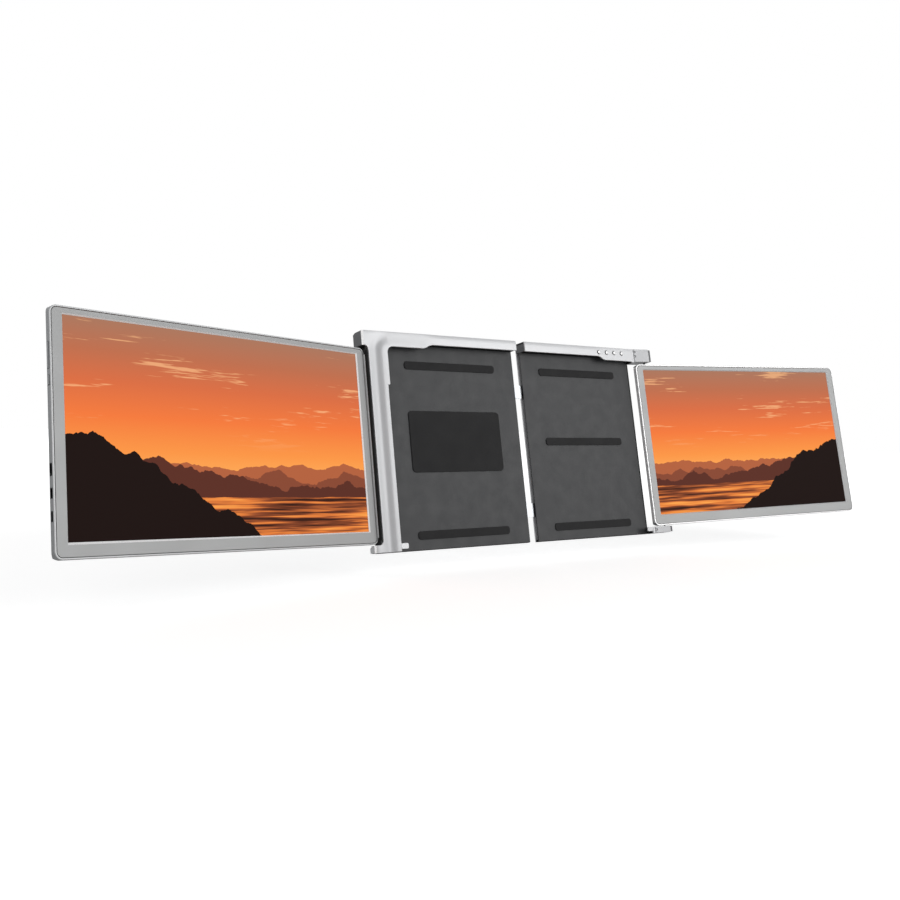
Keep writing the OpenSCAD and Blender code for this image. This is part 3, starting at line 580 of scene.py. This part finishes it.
def round_post(obj, x, z, radius, segments=8):
    """In edit mode, rounds one corner of the front view."""
    pick(obj, "EDGE", post_edge(x, z))
    bpy.ops.mesh.bevel(offset=radius, segments=segments, affect="EDGES")


VALLEY_X = 11.4                 # the soft step down the column, and its turn under the bar
VALLEY_TURN = 9.5
VALLEY_TURN_Z = -19.5
VALLEY_FADE = 22.0              # length over which it fades out, from the start of the turn
VALLEY_DEPTH = 1.45
VALLEY_RISE = 7.5               # width of the slope that rises on its inner side
VALLEY_OUTER = 6.8              # how softly the outer side comes back to the flat front
SLOPE_SHADE = 0.85               # painted shade on the valley's slope: its strength, its place and its width
SLOPE_SHADE_AWAY = 0.4
SLOPE_SHADE_W = 4.8
# Painted shade down the column, and what the lower part adds to it: its strength, the height
# where it starts and the length over which it grows
COLUMN_SHADE, COLUMN_SHADE_Z, COLUMN_SHADE_RUN = 0.25, -18.0, 35.0
FOOT_SHADE, FOOT_SHADE_Z, FOOT_SHADE_RUN = 0.16, -50.0, 140.0
ROLL_H = 4.2                    # height of the rolled edge at the bar's top
ROLL_BLEND = 16.0               # length over which the bar's roll sets in along the bar
ROLL_TOP = 0.25                 # depth of the roll at the top, all along the bar
ROLL_THIN_TOP = 0.45            # what the thin stretch adds to it, and its roll below
ROLL_THIN_FOOT = 0.3
ROLL_LEAD = 6.0                 # how far before the left step's end the thin part's roll
ROLL_TRAIL = 4.0                # sets in, and how far past the right step's start it ends


def valley_place(x, z):
    """Distance past the valley's middle line, on its inner side, and its strength.

    The line runs up the column, then round a quarter turn and along the bar.
    """
    if z <= VALLEY_TURN_Z:
        return x - VALLEY_X, 1.0
    dx, dz = VALLEY_X + VALLEY_TURN - x, z - VALLEY_TURN_Z
    run = math.atan2(dz, max(dx, 0.0)) * VALLEY_TURN - min(dx, 0.0)
    return VALLEY_TURN - math.hypot(max(dx, 0.0), dz), max(0.0, 1 - (run / VALLEY_FADE) ** 2) ** 2


def valley(x, z):
    """Depth of the valley's floor behind the flat front."""
    away, fade = valley_place(x, z)
    part = (away + VALLEY_RISE / 2) / VALLEY_RISE
    if part < 0:
        return VALLEY_DEPTH * fade * math.exp(-(part * VALLEY_RISE / VALLEY_OUTER) ** 2)
    part = min(part, 1.0)
    return VALLEY_DEPTH * fade * (1 - part * part * (3 - 2 * part))


def painted_valley_shade(x, z):
    """Strength of the painted shade: 1 along the valley's slope, less beside it, and
    more down the column, growing towards the bottom."""
    away, fade = valley_place(x, z)
    slope = SLOPE_SHADE * fade * math.exp(-((away + SLOPE_SHADE_AWAY) / SLOPE_SHADE_W) ** 2)
    foot = FOOT_SHADE * share((FOOT_SHADE_Z - z) / FOOT_SHADE_RUN)
    below = (COLUMN_SHADE + foot) * share((COLUMN_SHADE_Z - z) / COLUMN_SHADE_RUN)
    return slope + below * (1 - slope)


def bar_roll(x, z, thin_from, thin_to):
    """How far the bar's front rolls back: at its upper edge, and below where it is thin."""
    upper = share((z + ROLL_H) / ROLL_H)
    lower = share((-z - ROLL_H) / (-BAR_FOOT - ROLL_H))
    blend = share((x - thin_from) / ROLL_BLEND) * share((thin_to - x) / ROLL_BLEND)
    return (ROLL_TOP + ROLL_THIN_TOP * blend) * upper ** 2 + ROLL_THIN_FOOT * blend * lower ** 1.5


# Cuts that let the front bend: close ones on the valley and the edges, wide ones elsewhere
LEFT_NET_X = steps(-4.2, 0.8, 34) + steps(LEFT_STEP_X, 2.0, 12)
LEFT_NET_Z = steps(-RIM - 0.8, -0.8, 33) + steps(-35.0, -25.0, 7)
RIGHT_NET_X = steps(RIGHT_STEP_X - ROLL_BLEND, 2.0, 10)
RIGHT_NET_Z = steps(-RIM - 0.9, -0.9, 10)


def front_rim(obj, test):
    """Bevels the front's outline."""
    edit(obj)
    pick(obj, "EDGE", test)
    bpy.ops.mesh.bevel(offset=RIM, segments=2, affect="EDGES", profile=0.6)
    done()


def outline_edge(edge):
    """An edge between the flat front and a wall."""
    if len(edge.link_faces) != 2 or any(abs(v.co.y) > 0.01 for v in edge.verts):
        return False
    return any(abs(face.normal.y) < 0.5 for face in edge.link_faces)


def left_front_housing():
    """Front and top of the bar's left half, with the column and its two ears."""
    piece = bench_block("left_front_housing", (EAR_X, 0, -BAR_H), (LEFT_END, SHELL_T, 0))
    edit(piece)
    step_end = LEFT_STEP_X + STEP_RUN
    thin_from = step_end - ROLL_LEAD
    corner = COLUMN_W + CORNER_LIP_W
    cut_at(piece, "x", (0, COLUMN_W, corner, LEFT_STEP_X, step_end))
    # the lower edge steps up to the thin stretch
    shift_points(piece, lambda p: p.x > step_end - 0.01 and near(p.z, -BAR_H), (0, 0, BAR_STEP))
    # the column, first with the corner's lip and then without it
    push_faces(piece, facing("z", -1, -BAR_H, 0, corner, "x"), (0, 0, BAR_H - CORNER_LIP_H))
    push_faces(piece, facing("z", -1, -CORNER_LIP_H, 0, COLUMN_W, "x"), (0, 0, CORNER_LIP_H + FOOT_TOP))
    push_faces(piece, facing("z", -1, FOOT_TOP, 0, COLUMN_W, "x"), (0, 0, -FRAME_H - FOOT_TOP))
    # the foot's ear
    push_faces(piece, facing("x", -1, 0, -FRAME_H, FOOT_TOP, "z"), (FOOT_EAR_X, 0, 0))
    # the ears' bevelled ends
    for start, end in ((EAR_X, -EAR_W), (FOOT_EAR_X, -FOOT_EAR_W)):
        push_faces(piece, facing("x", -1, start), (-BEVEL_RUN, 0, 0))
        shift_points(piece, lambda p: near(p.x, end) and near(p.y, 0), (0, BEVEL_DEPTH, 0))
    for x, z, radius in ((0, -BAR_H, NOTCH_R), (0, FOOT_TOP, NOTCH_R), (corner, -BAR_H, FILLET),
                         (corner, -CORNER_LIP_H, LIP_FILLET), (LEFT_STEP_X, -BAR_H, STEP_FILLET),
                         (step_end, BAR_FOOT, STEP_FILLET)):
        round_post(piece, x, z, radius)
    # the top wall, which stops at the ear's bevel
    cut_at(piece, "z", (-SHELL_T,))
    push_faces(piece, lambda f: f.normal.y > 0.9 and near(middle(f).y, SHELL_T)
               and middle(f).z > -SHELL_T and middle(f).x > EAR_X, (0, SHELL_BACK - SHELL_T, 0))
    done()
    coat(piece, "satin_silver_paint", "bright_painted_highlight")
    front_rim(piece, outline_edge)
    edit(piece)
    # the ears' bevels in the near-white material: a painted highlight
    pick(piece, "FACE", lambda f: f.normal.x < -0.3 and f.normal.y < -0.3 and middle(f).x < EAR_X)
    piece.active_material_index = 1
    bpy.ops.object.material_slot_assign()
    # the front bends back into the valley and round the bar's edges
    cut_at(piece, "x", LEFT_NET_X)
    cut_at(piece, "z", LEFT_NET_Z)
    shape = bmesh.from_edit_mesh(piece.data)
    # each point of the front keeps the strength of its painted shade
    shade_layer = shape.verts.layers.float.new("hollow")
    for point in shape.verts:
        if point.co.y < SHELL_T - 0.1:
            x, z = point.co.x, point.co.z
            point[shade_layer] = painted_valley_shade(x, z)
            point.co.y += (1 - point.co.y / SHELL_T) * (valley(x, z) + bar_roll(x, z, thin_from, math.inf))
    bmesh.update_edit_mesh(piece.data)
    done()
    smooth(piece)
    to_frame(piece)
    give(piece, "left_frame", "silver_shell", "left_front_shell")


def right_front_housing():
    """Front and top of the bar's right half, with the four button holes."""
    piece = bench_block("right_front_housing", (RIGHT_START, 0, BAR_FOOT), (RIGHT_END, SHELL_T, 0))
    edit(piece)
    step_end = RIGHT_STEP_X + STEP_RUN
    tip = RIGHT_END - POINT_W
    cut_at(piece, "x", (RIGHT_STEP_X, step_end, tip, tip + POINT_RUN))
    shift_points(piece, lambda p: p.x > step_end - 0.01 and near(p.z, BAR_FOOT), (0, 0, -BAR_STEP))
    # the corner's small point
    shift_points(piece, lambda p: p.x > tip + POINT_RUN - 0.1 and near(p.z, -BAR_H), (0, 0, -POINT_H))
    for x, z in ((RIGHT_STEP_X, BAR_FOOT), (step_end, -BAR_H)):
        round_post(piece, x, z, RIGHT_STEP_FILLET, 5)
    cut_at(piece, "z", (-SHELL_T,))
    push_faces(piece, facing("y", 1, SHELL_T, -SHELL_T, 0, "z"), (0, SHELL_BACK - SHELL_T, 0))
    done()
    for x, z in button_places():
        bpy.ops.object.select_all(action="DESELECT")
        bpy.ops.mesh.primitive_cylinder_add(vertices=ROUND_SIDES, radius=BUTTON_HOLE_R, depth=8,
                                            location=(x, 0, z), rotation=(math.pi / 2, 0, 0))
        drill = bpy.context.object
        add_modifier(piece, "BOOLEAN", object=drill, operation="DIFFERENCE", solver="EXACT")
        bpy.data.objects.remove(drill)
    coat(piece, "satin_silver_paint")
    front_rim(piece, lambda e: outline_edge(e) and middle(e).x < RIGHT_END - 0.1)
    edit(piece)
    # the front bends back round the bar's edges
    cut_at(piece, "z", RIGHT_NET_Z)
    cut_at(piece, "x", RIGHT_NET_X)
    shape = bmesh.from_edit_mesh(piece.data)
    for point in shape.verts:
        if point.co.y < SHELL_T - 0.1:
            x, z = point.co.x, point.co.z
            point.co.y += (1 - point.co.y / SHELL_T) * bar_roll(x, z, -math.inf, RIGHT_STEP_X + ROLL_TRAIL)
    bmesh.update_edit_mesh(piece.data)
    done()
    smooth(piece)
    to_frame(piece)
    give(piece, "right_frame", "silver_shell", "right_front_shell")


def button_places():
    """Middles of the four buttons on the bench, from their nodes."""
    places = []
    for i in range(1, 5):
        low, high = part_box("button_%d" % i)
        centre = (low + high) / 2 / MM + SEAT
        places.append((centre.x, centre.z))
    return places


def buttons():
    """Four round buttons with domed faces."""
    for i, (x, z) in enumerate(button_places(), 1):
        bpy.ops.object.select_all(action="DESELECT")
        bpy.ops.mesh.primitive_cylinder_add(
            vertices=ROUND_SIDES, radius=BUTTON_R, depth=BUTTON_BACK - BUTTON_FRONT,
            location=(x, (BUTTON_BACK + BUTTON_FRONT) / 2, z), rotation=(math.pi / 2, 0, 0))
        piece = bpy.context.object
        piece.name = "press_button_%d" % i
        bpy.ops.object.transform_apply(location=True, rotation=True, scale=True)
        edit(piece)
        # rings that rise towards the middle
        for inset, rise in BUTTON_RINGS:
            pick(piece, "FACE", lambda f: f.normal.y < -0.9 and len(f.verts) > 8)
            bpy.ops.mesh.inset(thickness=inset, depth=rise)
        done()
        # the sides in dark grey, a painted shade round each button, and the domed face near white, a
        # painted highlight
        coat(piece, "grey_moulding_and_painted_shade", "bright_painted_highlight")
        for face in piece.data.polygons:
            face.material_index = int(face.normal.y < -0.8)
        smooth(piece, 50)
        to_frame(piece)
        give(piece, "button_%d" % i, "button", "button_%d" % i)


# ---- pieces that keep their exact outline, with softened edges ----

def softened(node, body, slot, material, width):
    """A copy of a node's shape with its edges rounded, which stands for the node."""
    source = frame["nodes"][node]
    piece = bpy.data.objects.new(node + "_finished", source.data.copy())
    bpy.context.scene.collection.objects.link(piece)
    coat(piece, material)
    # loose triangles become whole faces
    edit(piece)
    bpy.ops.mesh.select_all(action="SELECT")
    bpy.ops.mesh.remove_doubles(threshold=0.002 * MM)
    bpy.ops.mesh.dissolve_limited(angle_limit=math.radians(0.4))
    done()
    if node in TRIMMED:
        trim(piece, *TRIMMED[node])
    bevel_edges(piece, width * MM)
    smooth(piece)
    give(piece, body, slot, node)


def trim(piece, material, place, chamfer, edge_test, face_test):
    """Finishes part of a piece in a second material: the faces that pass a test, and a
    chamfer of that width in millimetres along the edges that pass one.

    The tests get middles in place's own millimetres, and normals in its directions.
    """
    piece.data.materials.append(MATERIALS[material])
    inward = (FRAME_MATRIX @ place).inverted()
    turn = inward.to_3x3().normalized()
    edit(piece)
    if face_test:
        pick(piece, "FACE", lambda f: face_test(inward @ middle(f), turn @ f.normal))
        piece.active_material_index = 1
        bpy.ops.object.material_slot_assign()
    if edge_test:
        pick(piece, "EDGE", lambda e: len(e.link_faces) == 2
             and edge_test(inward @ middle(e), [turn @ f.normal for f in e.link_faces]))
        bpy.ops.mesh.bevel(offset=chamfer * MM, segments=1, affect="EDGES", material=1)
    done()
    if edge_test == picture_edge and place is LEFT_SCREEN:
        widen_sill(piece, inward, chamfer)


def widen_sill(piece, inward, chamfer):
    """Makes the chamfer below a picture wider: its front edge moves down."""
    slack = 0.2
    foot = -BEZEL_TOP - ACTIVE_H
    for point in piece.data.vertices:
        place = inward @ point.co
        below = near(abs(place.x), BEZEL_SIDE + ACTIVE_W / 2, ACTIVE_W / 2 + chamfer + slack)
        if below and place.y < slack and near(place.z, foot - chamfer, slack):
            place.z -= SILL
            point.co = inward.inverted() @ place


# Tests for an edge, with its middle and its two faces' normals, or for one face

def screen_rim(at, normals):
    """The outer edge of a screen's front."""
    outward = at - SCREEN_MIDDLE[at.x > 0]
    return abs(at.y) < 0.05 and any(n.y < -0.9 for n in normals) and any(
        abs(n.y) < 0.3 and n.dot(outward) > 0 for n in normals)


def screen_front(at, normal):
    return at.y < 0.05 and normal.y < -0.9


def right_screen_front(at, normal):
    """The screen's front, and its side beside the hinge."""
    return screen_front(at, normal) or normal.x < -0.9 and at.x < 0.5


def picture_edge(at, normals):
    """The edge of the bezel's opening."""
    inside = (near(abs(at.x), BEZEL_SIDE + ACTIVE_W / 2, ACTIVE_W / 2 + 0.1)
              and near(-at.z, BEZEL_TOP + ACTIVE_H / 2, ACTIVE_H / 2 + 0.1))
    return inside and at.y < 0.15 and any(n.y < -0.9 for n in normals)


def link_bevel(at, normal):
    """The bevelled end of a link."""
    return normal.x > 0.4 and normal.y < -0.4 and at.x > 10


def foot_cap(at, normal):
    """The whole lower one of the two ear caps."""
    return at.z < -100


def spine_flank(at, normal):
    """The spine's flat side, which stands beside the screen's face."""
    return normal.x < -0.9 and near(at.x, 0, 0.1)


SCREEN_MIDDLE = (Vector((-CASING_W / 2, 0, -CASING_H / 2)), Vector((CASING_W / 2, 0, -CASING_H / 2)))
# Node: second material, coordinates, width of its chamfer, tests for the edges and the faces
# the second materials are painted light: near-white and paler rims, chamfers and link bevels as painted
# highlight, the right screen's front and shaded side made near white, and the spine's flank near white
# against the shade it casts on the left screen's rim; the foot cap's silver is its own colour
TRIMMED = {
    "left_screen_cover": ("pale_painted_highlight", LEFT_SCREEN, RIM_CHAMFER, screen_rim, screen_front),
    "right_screen_cover": ("bright_painted_highlight", RIGHT_SCREEN, RIM_CHAMFER, screen_rim, right_screen_front),
    "left_screen_bezel": ("bright_painted_highlight", LEFT_SCREEN, PICTURE_CHAMFER, picture_edge, None),
    "right_screen_bezel": ("pale_painted_highlight", RIGHT_SCREEN, PICTURE_CHAMFER, picture_edge, None),
    "upper_link": ("bright_painted_highlight", RIGHT_TURN, 0, None, link_bevel),
    "lower_link": ("bright_painted_highlight", RIGHT_TURN, 0, None, link_bevel),
    "left_ear_caps": ("satin_silver_paint", Matrix.Identity(4), 0, None, foot_cap),
    "left_hinge_spine": ("bright_painted_highlight", LEFT_SCREEN, 0, None, spine_flank),
}


SOFTENED = (
    # node, material, width of the rounding
    ("left_mid_frame", "black_moulding", 0.25), ("left_rear_shell", "satin_silver_paint", 0.5),
    ("left_lid_plate", "dark_plate", 0.25), ("left_ear_caps", "grey_moulding_and_painted_shade", 0.3),
    ("left_joint_cap", "grey_moulding_and_painted_shade", 0.3), ("slide_rails", "drawn_steel", 0.2),
    ("left_lid_pads", "pad_rubber", 0.3), ("left_bottom_clip", "satin_silver_paint", 0.2),
    ("stand_brackets", "grey_moulding_and_painted_shade", 0.5), ("rear_stand", "stand_aluminium", 0.5),
    ("stand_foot_pad", "pad_rubber", 0.25),
    ("right_mid_frame", "black_moulding", 0.25), ("right_rear_shell", "satin_silver_paint", 0.5),
    ("right_lid_plate", "dark_plate", 0.25), ("right_joint_cap", "grey_moulding_and_painted_shade", 0.3),
    ("rail_guides", "acetal", 0.2), ("right_lid_pads", "pad_rubber", 0.3),
    ("right_bottom_clip", "satin_silver_paint", 0.2), ("link_lugs", "link_lacquer_painted_darker", 0.15),
    ("upper_link", "link_lacquer_painted_darker", 0.5), ("lower_link", "link_lacquer_painted_darker", 0.4),
    ("link_end_caps", "grey_moulding_and_painted_shade", 0.35),
    ("left_screen_cover", "casing_aluminium_painted_darker", 0.45), ("left_screen_bezel", "blasted_aluminium", 0.25),
    ("left_hinge_spine", "black_moulding", 0.2), ("left_menu_rocker", "casing_aluminium_painted_darker", 0.3),
    ("left_power_key", "casing_aluminium_painted_darker", 0.3),
    ("right_screen_cover", "casing_aluminium_painted_darker", 0.45), ("right_screen_bezel", "blasted_aluminium", 0.25),
)

# Nodes whose own shape is right as it is, with their materials
KEPT = {
    "signal_ribbon": "polyimide_film", "left_frame_screws": "drawn_steel", "stand_pin": "drawn_steel",
    "button_board": "solder_mask", "right_frame_screws": "drawn_steel", "link_pins": "drawn_steel",
    "left_display_panel": "left_picture", "left_driver_board": "solder_mask",
    "left_port_sockets": "socket_metal", "left_hinge_pins": "blackened_steel",
    "left_screen_screws": "drawn_steel", "right_display_panel": "right_picture",
    "right_driver_board": "solder_mask", "right_port_sockets": "socket_metal",
    "right_pivot_blocks": "black_moulding", "right_pivot_pins": "blackened_steel",
    "right_screen_screws": "drawn_steel",
}


# ---- studio ----

LEAN = math.radians(12.5)       # how far the frame leans back from the table's upright
FLOOR_DROP = 232.0              # from the top of the bar down to the table
TABLE_X = 90.0                  # the table's middle along the bar
WORLD_LIGHT = 0.34


def studio():
    """Plain pale table, white surroundings and soft light."""
    world = bpy.data.worlds.new("studio")
    bpy.context.scene.world = world
    world.use_nodes = True
    tree = world.node_tree
    tree.nodes.clear()
    rays = add_node(tree, "LightPath")
    seen = add_node(tree, "Math", {0: rays.outputs["Is Camera Ray"], 1: rays.outputs["Is Glossy Ray"]},
                    operation="MAXIMUM")
    seen = add_node(tree, "Math", {0: seen, 1: rays.outputs["Is Transmission Ray"]}, operation="MAXIMUM")
    lit = add_node(tree, "Background", {"Color": (1, 1, 1, 1), "Strength": WORLD_LIGHT})
    white = add_node(tree, "Background", {"Color": (1, 1, 1, 1), "Strength": 1.0})
    mixed = add_node(tree, "MixShader", {0: seen, 1: lit, 2: white})
    add_node(tree, "OutputWorld", {"Surface": mixed})

    # the frame stays upright here, so the table leans instead
    middle_point = FRAME_MATRIX @ Vector((TABLE_X, 0, -FLOOR_DROP))
    bpy.ops.object.select_all(action="DESELECT")
    bpy.ops.mesh.primitive_plane_add(size=6, location=middle_point, rotation=(LEAN, 0, 0))
    table = bpy.context.object
    table.name = "table"
    paper = bpy.data.materials.new("white_paper")
    paper.use_nodes = True
    tree = paper.node_tree
    tree.nodes.clear()
    rays = add_node(tree, "LightPath")
    below = add_node(tree, "NewGeometry").outputs["Backfacing"]
    matt = add_node(tree, "BsdfDiffuse", {"Color": srgb("#F4F4F4")})
    # the table glows a little for the camera, more with the distance from its middle in metres
    place = add_node(tree, "TexCoord").outputs["Object"]
    away = add_node(tree, "VectorMath", {0: place}, operation="LENGTH")
    lift = add_node(tree, "MapRange", {"Value": away.outputs["Value"], "From Min": 0.5, "From Max": 1.5,
                                       "To Min": 0.59, "To Max": 0.85})
    glow = add_node(tree, "Emission", {"Color": (1, 1, 1, 1), "Strength": lift})
    bright = add_node(tree, "AddShader", {0: matt, 1: glow})
    direct = add_node(tree, "MixShader", {0: rays.outputs["Is Camera Ray"], 1: matt, 2: bright})
    clear = add_node(tree, "BsdfTransparent")
    sheet = add_node(tree, "MixShader", {0: below, 1: direct, 2: clear})
    add_node(tree, "OutputMaterial", {"Surface": sheet})
    table.data.materials.append(paper)

    lamps = (
        # name, place and size in metres, power in watts; each looks at the frame's middle
        ("key", (1.3, -1.9, 0.25), 1.2, 14.0),
        ("fill", (-1.6, -1.6, 0.5), 1.6, 6.0),
        ("back", (0.4, 1.8, 1.4), 1.8, 7.0),
    )
    for name, place, size, power in lamps:
        data = bpy.data.lights.new(name, "AREA")
        data.shape = "DISK"
        data.size = size
        data.energy = power
        lamp = bpy.data.objects.new(name, data)
        bpy.context.scene.collection.objects.link(lamp)
        lamp.location = place
        lamp.rotation_euler = (-Vector(place)).to_track_quat("-Z", "Y").to_euler()


def camera():
    """The photograph's viewpoint: its place, direction and lens come from a fit."""
    data = bpy.data.cameras.new("camera")
    viewer = bpy.data.objects.new("camera", data)
    bpy.context.scene.collection.objects.link(viewer)
    picture_side = 900.0        # pixels
    focal = 1112.23             # pixels
    centre = (513.36, 373.37)   # pixels, from the upper left corner
    data.sensor_width = 36.0
    data.lens = focal * data.sensor_width / picture_side
    data.shift_x = (picture_side / 2 - centre[0]) / picture_side
    data.shift_y = (centre[1] - picture_side / 2) / picture_side
    data.clip_start, data.clip_end = 0.01, 50
    place = FRAME_MATRIX @ Vector((-548.16, -872.79, -250.21))
    forward = Vector((0.62559, 0.75752, 0.18653)).normalized()
    up = Vector((-0.03833, -0.20896, 0.97717)).normalized()
    right = forward.cross(up).normalized()
    up = right.cross(forward)
    viewer.matrix_world = Matrix.Translation(place) @ Matrix((right, up, -forward)).transposed().to_4x4()
    bpy.context.scene.camera = viewer


# ---- everything together ----

camera()
studio()

bpy.context.scene.view_settings.view_transform = "Standard"

left_corner = FRAME_MATRIX @ LEFT_SCREEN @ Vector(
    (-(BEZEL_SIDE + ACTIVE_W), PANEL_DEPTH, -(BEZEL_TOP + ACTIVE_H)))
right_corner = FRAME_MATRIX @ RIGHT_SCREEN @ Vector((BEZEL_SIDE, PANEL_DEPTH, -(BEZEL_TOP + ACTIVE_H)))
MATERIALS = {made.name: made for made in (
    satin_silver_paint(), link_lacquer_painted_darker(), bright_painted_highlight(), pale_painted_highlight(), blasted_aluminium(),
    casing_aluminium_painted_darker(), black_moulding(), grey_moulding_and_painted_shade(), dark_plate(), pad_rubber(),
    drawn_steel(), blackened_steel(), stand_aluminium(), solder_mask(), polyimide_film(),
    acetal(), socket_metal(),
    screen_picture("left_picture", left_corner, LEFT_ANGLE, -1, 0.0),
    screen_picture("right_picture", right_corner, RIGHT_ANGLE, 1, 53.7))}

slots = {part["node"]: part["material_slot"] for part in frame["record"]["subparts"]}
bodies = {node: body for body, nodes in frame["record"]["behaviour"]["bodies"].items() for node in nodes}

left_front_housing()
right_front_housing()
buttons()
for node, material, width in SOFTENED:
    softened(node, bodies[node], slots[node], material, width)
for node, material in KEPT.items():
    coat(frame["nodes"][node], material)
